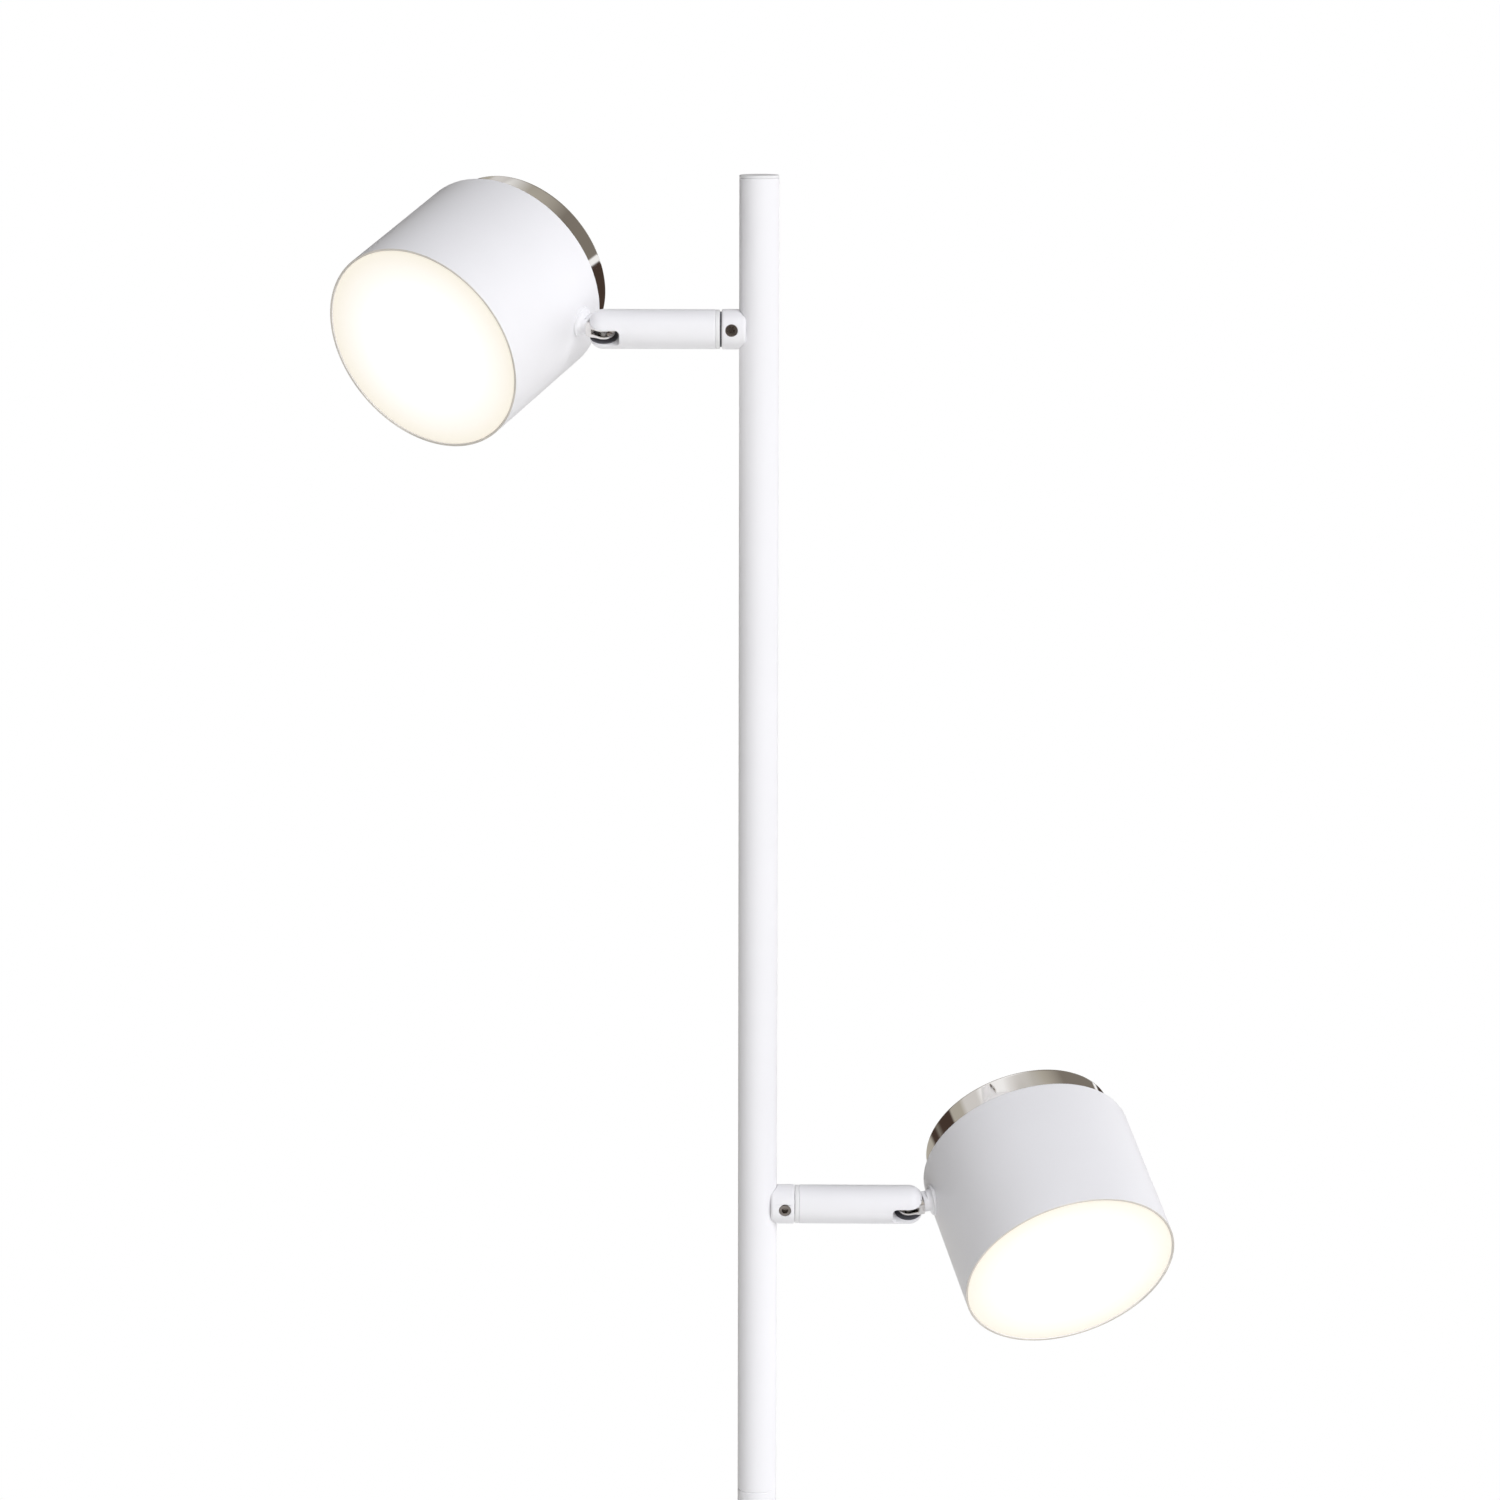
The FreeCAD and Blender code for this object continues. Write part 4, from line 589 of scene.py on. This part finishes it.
def brushed_aluminium(colours):
    """Aluminium with fine streaks."""
    finish = Finish("brushed_aluminium")
    streaks = finish.noise(300.0, 4.0, (1.0, 1.0, 12.0))
    finish.colour(finish.blend(streaks, shade(colours.aluminium, 0.85), colours.aluminium))
    finish.roughen(streaks, 0.3, 0.5)
    finish.set(Metallic=1.0)
    return finish.material


def cable_skin(name, tone):
    """Soft smooth cable sheath."""
    finish = Finish(name)
    finish.colour(finish.blend(finish.noise(200.0), shade(tone, 0.9), tone))
    finish.roughen(finish.noise(600.0), 0.45, 0.6)
    finish.bump(finish.noise(1200.0, 2.0), 0.00001)
    return finish.material


def opal_glow(side, spot, colours):
    """The lit disc: white in the middle and creamy towards its rim."""
    finish = Finish(f"{side}_opal_glow")
    middle = spot_place(side, spot) @ Vector((0, 0, spot.front_reach))
    gap = finish.nodes.new("ShaderNodeVectorMath")
    gap.operation = "DISTANCE"
    gap.inputs[1].default_value = middle
    finish.links.new(finish.place, gap.inputs[0])
    share = finish.spread(gap.outputs["Value"], 0.0, 1.0, 0.0, spot.diameter / 2)
    glow = finish.blend(share, colours.glow, colours.glow_edge, *GLOW_FADE)
    finish.links.new(glow, finish.shader.inputs["Emission Color"])
    finish.colour(finish.blend(finish.noise(60.0), shade(colours.opal, 0.98), colours.opal))
    finish.roughen(finish.noise(500.0), 0.5, 0.6)
    finish.set(Emission_Strength=1.0)
    return finish.material


def finishes(colours):
    """Make each shared finish once."""
    if "powder_coat" not in bpy.data.materials:
        powder_coat(colours)
        rim_edge(colours)
        chrome_plate(colours)
        plated_steel("zinc_plate", colours.steel)
        plated_steel("dark_steel", colours.screw)
        iron_casting(colours)
        closed_foam(colours)
        brushed_aluminium(colours)
        moulded_plastic("white_moulding", colours.plastic)
        moulded_plastic("dark_nylon", colours.nylon, 0.4, 0.55)
        moulded_plastic("solder_mask", colours.board)
        moulded_plastic("phosphor", colours.phosphor, 0.5, 0.7)
        moulded_plastic("potted_case", colours.case, 0.5, 0.65)
        cable_skin("cable_sheath", colours.sheath)
        cable_skin("lead_sheath", colours.lead)
    return bpy.data.materials


SLOT_FINISH = {
    "white_paint": "powder_coat",
    "white_metal": "powder_coat",
    "chrome": "chrome_plate",
    "zinc_steel": "zinc_plate",
    "cast_iron": "iron_casting",
    "foam": "closed_foam",
    "white_plastic": "white_moulding",
    "dark_nylon": "dark_nylon",
    "aluminium": "brushed_aluminium",
    "board": "solder_mask",
    "led_chip": "phosphor",
    "opal": "white_moulding",
    "driver_case": "potted_case",
    "cable_sheath": "cable_sheath",
    "lead_sheath": "lead_sheath",
}


# ---------------------------------------------------------------- operators


class MakeCadFinishes(bpy.types.Operator):
    """Give every CAD node the finish of its material slot"""
    bl_idname = "lamp.cad_finishes"
    bl_label = "Finish the CAD nodes"

    def execute(self, context):
        materials = finishes(context.scene.lamp_colours)
        for node in NODES:
            dress(node, materials[SLOT_FINISH[SLOTS[node]]])
        dress("set_screws", materials["dark_steel"])
        return {"FINISHED"}


class MakeFoot(bpy.types.Operator):
    """Make the foot's pressed and painted cover"""
    bl_idname = "lamp.foot"
    bl_label = "Foot"

    def execute(self, context):
        pole = context.scene.lamp_pole
        low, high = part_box("base_cover")
        radius = pole.foot_radius
        inside = radius - pole.foot_wall
        roof = high.z - pole.foot_wall
        mesh = spin_round([
            (pole.foot_bore, roof),
            (inside, roof, pole.foot_edge - pole.foot_wall),
            (inside, low.z),
            (radius, low.z),
            (radius, high.z, pole.foot_edge),
            (pole.foot_bore, high.z),
        ], steps=DRUM_STEPS)
        paint = finishes(context.scene.lamp_colours)["powder_coat"]
        finish_piece(mesh, "base_cover_dish", "base_cover", paint)
        return {"FINISHED"}


class MakePole(bpy.types.Operator):
    """Make the three tube sections"""
    bl_idname = "lamp.pole"
    bl_label = "Pole sections"

    def execute(self, context):
        pole = context.scene.lamp_pole
        paint = finishes(context.scene.lamp_colours)["powder_coat"]
        radius = pole.diameter / 2
        for node in ("pole_lower", "pole_middle", "pole_upper"):
            low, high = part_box(node)
            mesh = spin_round([
                (radius - pole.wall, low.z),
                (radius - pole.chamfer, low.z),
                (radius, low.z + pole.chamfer),
                (radius, high.z - pole.chamfer),
                (radius - pole.chamfer, high.z),
                (radius - pole.wall, high.z),
            ])
            finish_piece(mesh, f"{node}_tube", node, paint)
        return {"FINISHED"}


class MakePoleCap(bpy.types.Operator):
    """Make the plug in the top of the pole"""
    bl_idname = "lamp.pole_cap"
    bl_label = "Pole cap"

    def execute(self, context):
        pole = context.scene.lamp_pole
        low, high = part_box("pole_cap")
        radius = pole.diameter / 2
        inside = radius - pole.wall
        seat = high.z - pole.cap_thickness
        mesh = spin_round([
            (inside - pole.cap_stem_wall, low.z),
            (inside, low.z),
            (inside, seat),
            (radius, seat),
            (radius, high.z, pole.cap_edge),
            (0.0, high.z),
            (0.0, seat),
            (inside - pole.cap_stem_wall, seat),
        ])
        plastic = finishes(context.scene.lamp_colours)["white_moulding"]
        finish_piece(mesh, "pole_cap_plug", "pole_cap", plastic)
        return {"FINISHED"}


class MakeCouplers(bpy.types.Operator):
    """Make the sockets that straddle the pole, each with its set screw's hole"""
    bl_idname = "lamp.couplers"
    bl_label = "Couplers"

    def execute(self, context):
        arm = context.scene.lamp_arm
        pole = context.scene.lamp_pole
        paint = finishes(context.scene.lamp_colours)["powder_coat"]
        for side in SIDES:
            low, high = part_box(f"{side}_coupler")
            start = min(abs(low.x), abs(high.x))
            end = start + arm.coupler_length
            radius = arm.coupler_diameter / 2
            mesh = spin_round([
                (arm.stud_hole, start),
                (radius, start, arm.coupler_edge),
                (radius, end, arm.coupler_edge),
                (arm.stud_hole, end),
            ], steps=ARM_STEPS)
            # draw the inner end back to the pole's surface
            for point in mesh.verts:
                cope = math.sqrt(max(0.0, (pole.diameter / 2) ** 2 - point.co.x ** 2))
                share = (end - point.co.z) / (end - start)
                point.co.z += max(0.0, cope - start) * share
            hole = round_bar(arm.screw_hole, arm.stud_hole * HOLE_START, arm.coupler_diameter)
            sign = -1 if side == "upper" else 1
            screw_turn = Matrix.Rotation(sign * getattr(arm, f"{side}_screw_turn"), 4, "Z")
            hole.transform(Matrix.Translation((0, 0, start + arm.screw_place)) @ screw_turn
                           @ Matrix.Rotation(QUARTER_TURN, 4, "Y"))
            mesh = carve(mesh, [hole], arm.hole_edge)
            finish_piece(mesh, f"{side}_coupler_socket", f"{side}_coupler", paint,
                         coupler_place(side))
        return {"FINISHED"}


class MakeBushes(bpy.types.Operator):
    """Make the thin ring between each coupler and its arm"""
    bl_idname = "lamp.bushes"
    bl_label = "Swivel bushes"

    def execute(self, context):
        arm = context.scene.lamp_arm
        plastic = finishes(context.scene.lamp_colours)["white_moulding"]
        for side in SIDES:
            mesh = spin_round([
                (arm.stud_hole, -arm.bush_flange),
                (arm.bush_diameter / 2, -arm.bush_flange, arm.bush_edge),
                (arm.bush_diameter / 2, 0.0, arm.bush_edge),
                (arm.bore, 0.0),
                (arm.bore, arm.bush_spigot),
                (arm.stud_hole, arm.bush_spigot),
            ])
            finish_piece(mesh, f"{side}_swivel_bush_ring", f"{side}_swivel_bush", plastic,
                         arm_place(side, arm))
        return {"FINISHED"}


class MakeArms(bpy.types.Operator):
    """Make the round bars with their slots and rounded ends"""
    bl_idname = "lamp.arms"
    bl_label = "Arms"

    def execute(self, context):
        arm = context.scene.lamp_arm
        paint = finishes(context.scene.lamp_colours)["powder_coat"]
        for side in SIDES:
            mesh = spin_round([
                (arm.bore, 0.0),
                (arm.diameter / 2, 0.0, arm.foot_edge),
                (arm.diameter / 2, arm.length, arm.end_radius),
                (arm.lead_bore, arm.length),
                (arm.lead_bore, arm.bore_depth),
                (arm.bore, arm.bore_depth),
            ], steps=ARM_STEPS)
            half = arm.slot_width / 2
            floor = arm.length - arm.slot_depth
            slot = cut_plate([
                (-half, floor, arm.slot_corner),
                (half, floor, arm.slot_corner),
                (half, arm.length + half),
                (-half, arm.length + half),
            ], 2 * arm.diameter, "Y", "Z")
            pocket = round_bar(arm.screw_head, arm.screw_floor, arm.diameter)
            pocket.transform(Matrix.Translation((0, 0, arm.length - arm.pivot_setback))
                             @ Matrix.Rotation(QUARTER_TURN, 4, "X"))
            mesh = carve(mesh, [slot, pocket], arm.slot_edge)
            finish_piece(mesh, f"{side}_arm_bar", f"{side}_arm", paint, arm_place(side, arm))
        return {"FINISHED"}


class MakeTiltWashers(bpy.types.Operator):
    """Make the dark friction washers on both sides of each tongue, wide enough that their dark edges also paint
    the shade in the slot's gaps
    """
    bl_idname = "lamp.tilt_washers"
    bl_label = "Tilt washers"

    def execute(self, context):
        arm = context.scene.lamp_arm
        spot = context.scene.lamp_spot
        nylon = finishes(context.scene.lamp_colours)["dark_nylon"]
        wall = arm.slot_width / 2 - arm.washer_gap
        for side in SIDES:
            pair = bmesh.new()
            for foot in (-wall, wall - arm.washer_thickness):
                join(pair, spin_round([
                    (arm.washer_bore, foot),
                    (arm.washer_radius, foot),
                    (arm.washer_radius, foot + arm.washer_thickness),
                    (arm.washer_bore, foot + arm.washer_thickness),
                ]))
            pair.transform(Matrix.Rotation(QUARTER_TURN, 4, "X"))
            finish_piece(pair, f"{side}_friction_washers", f"{side}_tilt_washers", nylon,
                         tongue_place(side, spot))
        return {"FINISHED"}


class MakeTongues(bpy.types.Operator):
    """Make the chrome tongues with their two cheeks"""
    bl_idname = "lamp.tongues"
    bl_label = "Tongues"

    def execute(self, context):
        spot = context.scene.lamp_spot
        chrome = finishes(context.scene.lamp_colours)["chrome_plate"]
        half = spot.tongue_width / 2
        for side in SIDES:
            mesh = cut_plate([
                (-half, -half, half),
                (half, -half, half),
                (half, spot.tongue_reach),
                (-half, spot.tongue_reach),
            ], spot.tongue_thickness, "X", "Z")
            groove = cut_plate([
                (-spot.groove_width / 2, -spot.tongue_width),
                (spot.groove_width / 2, -spot.tongue_width),
                (spot.groove_width / 2, spot.groove_end),
                (-spot.groove_width / 2, spot.groove_end),
            ], 2 * spot.tongue_width, "Y", "Z")
            mesh = carve(mesh, [groove], spot.tongue_edge)
            root = spot.groove_end + spot.tongue_edge
            join(mesh, round_bar(spot.stem, root, spot.neck_length + spot.stem))
            finish_piece(mesh, f"{side}_tongue_cheeks", f"{side}_tongue", chrome,
                         tongue_place(side, spot))
        return {"FINISHED"}


class MakeNeckFlanges(bpy.types.Operator):
    """Make the trumpet-shaped seats between the tongues and the drums"""
    bl_idname = "lamp.neck_flanges"
    bl_label = "Neck flanges"

    def execute(self, context):
        spot = context.scene.lamp_spot
        paint = finishes(context.scene.lamp_colours)["powder_coat"]
        rim = spot.neck_length - spot.flange_rim
        for side in SIDES:
            mesh = spin_round([
                (spot.stem, spot.tongue_reach),
                (spot.neck_diameter / 2, spot.tongue_reach),
                (spot.neck_diameter / 2, rim, spot.neck_flare),
                (spot.flange_diameter / 2, rim, spot.flange_edge),
                (spot.flange_diameter / 2, spot_offset(spot)),
                (spot.stem, spot_offset(spot)),
            ])
            # bring the far end back to the drum's round side
            for point in mesh.verts:
                if point.co.z > spot.neck_length:
                    point.co.z -= math.sqrt((spot.diameter / 2) ** 2 - point.co.y ** 2)
            # cut flats on the foot, square to the tilt axis
            flats = []
            for sign in (-1, 1):
                near, far = sign * spot.neck_foot_half, sign * spot.flange_diameter
                flat = cut_plate([
                    (near, spot.tongue_reach / 2),
                    (far, spot.tongue_reach / 2),
                    (far, spot.neck_round_reach),
                    (near, spot.neck_round_reach),
                ], 2 * spot.flange_diameter, "Y", "Z")
                flat.transform(Matrix.Rotation(-getattr(spot, f"{side}_twist"), 4, "Z"))
                flats.append(flat)
            mesh = carve(mesh, flats, spot.neck_foot_edge)
            finish_piece(mesh, f"{side}_neck_flange_seat", f"{side}_neck_flange", paint,
                         neck_place(side, spot))
        return {"FINISHED"}


class MakeShells(bpy.types.Operator):
    """Make the painted drums"""
    bl_idname = "lamp.shells"
    bl_label = "Shells"

    def execute(self, context):
        spot = context.scene.lamp_spot
        materials = finishes(context.scene.lamp_colours)
        rear = spot.front_reach - spot.length
        radius = spot.diameter / 2
        opening = radius - spot.cup_step
        for side in SIDES:
            mesh = spin_round([
                (opening, rear),
                (radius, rear, spot.rear_radius),
                (radius, spot.front_reach, spot.rim_edge),
                (radius - spot.wall, spot.front_reach, spot.rim_edge),
                (radius - spot.wall, rear + spot.wall),
                (opening, rear + spot.wall),
            ], steps=DRUM_STEPS)
            # the front rim's faces take the rim finish, which is a painted shade
            for face in mesh.faces:
                if face.calc_center_median().z > spot.front_reach - spot.rim_edge * PAINTED_SHADE_RIM_FACES:
                    face.material_index = 1
            piece = finish_piece(mesh, f"{side}_shell_drum", f"{side}_shell",
                                 materials["powder_coat"], spot_place(side, spot))
            piece.data.materials.append(materials["rim_edge"])
        return {"FINISHED"}


class MakeRearCovers(bpy.types.Operator):
    """Make the chrome cups behind the drums"""
    bl_idname = "lamp.rear_covers"
    bl_label = "Rear covers"

    def execute(self, context):
        spot = context.scene.lamp_spot
        chrome = finishes(context.scene.lamp_colours)["chrome_plate"]
        radius = spot.diameter / 2 - spot.cup_step
        front = spot.front_reach - spot.length + spot.wall
        rear = spot.front_reach - spot.length - spot.cup_length
        for side in SIDES:
            mesh = spin_round([
                (0.0, rear),
                (radius, rear, spot.cup_radius),
                (radius, front),
                (radius + spot.cup_lip, front),
                (radius + spot.cup_lip, front + spot.cup_wall),
                (radius - spot.cup_wall, front + spot.cup_wall),
                (radius - spot.cup_wall, rear + spot.cup_wall, spot.cup_radius - spot.cup_wall),
                (0.0, rear + spot.cup_wall),
            ], closed=False, steps=DRUM_STEPS)
            finish_piece(mesh, f"{side}_rear_cover_cup", f"{side}_rear_cover", chrome,
                         spot_place(side, spot))
        return {"FINISHED"}


class MakeDiffusers(bpy.types.Operator):
    """Make the glowing opal discs"""
    bl_idname = "lamp.diffusers"
    bl_label = "Diffusers"

    def execute(self, context):
        spot = context.scene.lamp_spot
        face = spot.front_reach - spot.disc_sink
        outer = spot.diameter / 2 - spot.wall
        inner = outer - spot.disc_skirt_wall
        for side in SIDES:
            mesh = spin_round([
                (0.0, face - spot.disc_thickness),
                (inner, face - spot.disc_thickness),
                (inner, face - spot.disc_skirt),
                (outer, face - spot.disc_skirt),
                (outer, face, spot.disc_edge),
                (0.0, face),
            ], closed=False, steps=DRUM_STEPS)
            glow = opal_glow(side, spot, context.scene.lamp_colours)
            finish_piece(mesh, f"{side}_diffuser_disc", f"{side}_diffuser", glow,
                         spot_place(side, spot))
        return {"FINISHED"}


class MakeStudio(bpy.types.Operator):
    """Make the floor, the surroundings, the lights and the camera"""
    bl_idname = "lamp.studio"
    bl_label = "Studio"

    def execute(self, context):
        studio = context.scene.lamp_studio
        make_floor(studio)
        make_surroundings(studio)
        for name in ("key", "side"):
            make_light(studio, name)
        make_camera(studio)
        context.scene.view_settings.view_transform = "Standard"
        return {"FINISHED"}


def make_floor(studio):
    """A round pale floor that keeps the lamp's shadow and fades to white further out."""
    mesh = bmesh.new()
    bmesh.ops.create_circle(mesh, cap_ends=True, segments=128, radius=studio.floor_radius)
    floor = new_object(mesh, "studio_floor")
    finish = Finish("studio_floor")
    finish.colour(finish.blend(finish.noise(2.0), shade(studio.floor, 0.99), studio.floor))
    finish.roughen(finish.noise(30.0), 0.7, 0.8)
    gap = finish.nodes.new("ShaderNodeVectorMath")
    gap.operation = "LENGTH"
    finish.links.new(finish.place, gap.inputs[0])
    start, end = (share * studio.floor_radius for share in FLOOR_FADE)
    fade = finish.spread(gap.outputs["Value"], 0.0, 1.0, start, end)
    white = finish.nodes.new("ShaderNodeEmission")
    white.inputs["Color"].default_value = CLEAR_WHITE
    mix = finish.nodes.new("ShaderNodeMixShader")
    finish.links.new(fade, mix.inputs["Fac"])
    finish.links.new(finish.shader.outputs["BSDF"], mix.inputs[1])
    finish.links.new(white.outputs["Emission"], mix.inputs[2])
    finish.links.new(mix.outputs["Shader"], finish.nodes["Material Output"].inputs["Surface"])
    floor.data.materials.append(finish.material)


class Surroundings:
    """The world's node tree."""

    def __init__(self):
        world = bpy.data.worlds.new("studio")
        bpy.context.scene.world = world
        world.use_nodes = True
        self.nodes, self.links = world.node_tree.nodes, world.node_tree.links
        self.nodes.clear()
        self.path = self.nodes.new("ShaderNodeLightPath")
        parts = self.nodes.new("ShaderNodeSeparateXYZ")
        self.links.new(self.nodes.new("ShaderNodeTexCoord").outputs["Generated"], parts.inputs[0])
        self.across, self.height = parts.outputs["X"], parts.outputs["Z"]

    def light(self, source):
        """Return a background of a colour."""
        node = self.nodes.new("ShaderNodeBackground")
        if isinstance(source, tuple):
            node.inputs["Color"].default_value = source
        else:
            self.links.new(source, node.inputs["Color"])
        return node.outputs["Background"]

    def bands(self, steps):
        """Run through tones that change with the angle above the level."""
        share = self.nodes.new("ShaderNodeMapRange")
        share.inputs["From Min"].default_value = -1.0
        self.links.new(self.height, share.inputs["Value"])
        node = self.nodes.new("ShaderNodeValToRGB")
        stops = node.color_ramp.elements
        stops.remove(stops[-1])
        for index, (degrees, tone) in enumerate(steps):
            place = (math.sin(math.radians(degrees)) + 1) / 2
            stop = stops[0] if index == 0 else stops.new(place)
            stop.position = place
            stop.color = (*tone, 1.0)
        self.links.new(share.outputs["Result"], node.inputs["Fac"])
        return node.outputs["Color"]

    def mix(self, share, first, second):
        """Mix two backgrounds."""
        node = self.nodes.new("ShaderNodeMixShader")
        self.links.new(share, node.inputs["Fac"])
        self.links.new(first, node.inputs[1])
        self.links.new(second, node.inputs[2])
        return node.outputs["Shader"]


# the room's tones, and where each begins or ends: degrees above the level, then the tone
CEILING = (0.58, 0.56, 0.53)
WINDOW = (1.0, 1.0, 1.0)
PALE_WALL = (0.70, 0.68, 0.66)
BEIGE_WALL = (0.46, 0.43, 0.37)
SHADED_WALL = (0.22, 0.195, 0.165)
FURNITURE = (0.065, 0.042, 0.032)
LEFT_OF_LAMP = (
    (-10, BEIGE_WALL), (-7, FURNITURE), (-3, FURNITURE), (0, SHADED_WALL), (4, FURNITURE),
    (16, FURNITURE), (18, BEIGE_WALL), (28, BEIGE_WALL), (33, PALE_WALL), (46, PALE_WALL),
    (51, WINDOW), (72, WINDOW), (83, PALE_WALL), (88, CEILING),
)
RIGHT_OF_LAMP = (
    (-26, SHADED_WALL), (-22, FURNITURE), (2.4, FURNITURE), (3.6, WINDOW), (7.2, WINDOW),
    (8.4, SHADED_WALL), (46, SHADED_WALL), (66, BEIGE_WALL), (88, CEILING),
)


def make_surroundings(studio):
    """Light from all round, a plain room for polished metal and a white background."""
    world = Surroundings()
    room = world.light(world.bands(((-2, studio.ground), (2, studio.sky))))
    side = world.nodes.new("ShaderNodeMapRange")
    for end, place in zip(("From Min", "From Max"), ROOM_SIDES):
        side.inputs[end].default_value = place
    world.links.new(world.across, side.inputs["Value"])
    mirrored = world.mix(side.outputs["Result"], world.light(world.bands(LEFT_OF_LAMP)),
                         world.light(world.bands(RIGHT_OF_LAMP)))
    lit = world.mix(world.path.outputs["Is Glossy Ray"], room, mirrored)
    seen = world.nodes.new("ShaderNodeMath")
    seen.operation = "MAXIMUM"
    world.links.new(world.path.outputs["Is Camera Ray"], seen.inputs[0])
    world.links.new(world.path.outputs["Is Transmission Ray"], seen.inputs[1])
    shown = world.mix(seen.outputs["Value"], lit, world.light(CLEAR_WHITE))
    output = world.nodes.new("ShaderNodeOutputWorld")
    world.links.new(shown, output.inputs["Surface"])


def make_light(studio, name):
    """A broad soft light from far away."""
    azimuth = getattr(studio, f"{name}_azimuth")
    height = getattr(studio, f"{name}_height")
    data = bpy.data.lights.new(name, "SUN")
    data.energy = getattr(studio, f"{name}_strength")
    data.angle = studio.lamp_size
    data.color = studio.lamp_colour
    light = bpy.data.objects.new(name, data)
    light.visible_glossy = False
    bpy.context.scene.collection.objects.link(light)
    level = math.cos(height)
    source = Vector((math.sin(azimuth) * level, -math.cos(azimuth) * level, math.sin(height)))
    light.rotation_euler = source.to_track_quat("Z", "Y").to_euler()


def make_camera(studio):
    """Stand the camera where the photograph was taken."""
    data = bpy.data.cameras.new("camera")
    data.lens = studio.focal
    data.sensor_width = SENSOR_WIDTH
    data.clip_start = 0.01
    data.clip_end = 100.0
    camera = bpy.data.objects.new("camera", data)
    bpy.context.scene.collection.objects.link(camera)
    level = math.cos(studio.pitch)
    forward = Vector((math.sin(studio.yaw) * level, math.cos(studio.yaw) * level,
                      -math.sin(studio.pitch)))
    right = Vector((math.cos(studio.yaw), -math.sin(studio.yaw), 0.0))
    stand = Vector((studio.camera_x, studio.camera_y, studio.camera_z))
    matrix = placement(stand, right, -forward)
    camera.matrix_world = matrix @ Matrix.Rotation(studio.roll, 4, "Z")
    bpy.context.scene.camera = camera


PIECES = (
    MakeCadFinishes, MakeFoot, MakePole, MakePoleCap, MakeCouplers, MakeBushes, MakeArms,
    MakeTiltWashers, MakeTongues, MakeNeckFlanges, MakeShells, MakeRearCovers, MakeDiffusers,
    MakeStudio,
)


class LampPanel(bpy.types.Panel):
    """Lists the lamp's operators"""
    bl_idname = "VIEW3D_PT_lamp"
    bl_label = "Lamp"
    bl_space_type = "VIEW_3D"
    bl_region_type = "UI"
    bl_category = "Lamp"

    def draw(self, context):
        for piece in PIECES:
            self.layout.operator(piece.bl_idname)


GROUPS = {
    "lamp_pole": PoleSizes,
    "lamp_arm": ArmSizes,
    "lamp_spot": SpotSizes,
    "lamp_colours": LampColours,
    "lamp_studio": StudioSettings,
}


def register():
    """Make the classes and their settings known."""
    for cls in (*GROUPS.values(), *PIECES, LampPanel):
        bpy.utils.register_class(cls)
    for name, cls in GROUPS.items():
        setattr(bpy.types.Scene, name, bpy.props.PointerProperty(type=cls))


def unregister():
    """Take them away again."""
    for name in GROUPS:
        delattr(bpy.types.Scene, name)
    for cls in (LampPanel, *reversed(PIECES), *reversed(GROUPS.values())):
        bpy.utils.unregister_class(cls)


def main():
    """Make every piece and the studio."""
    register()
    for piece in PIECES:
        family, action = piece.bl_idname.split(".")
        getattr(getattr(bpy.ops, family), action)()


if __name__ == "__main__":
    main()
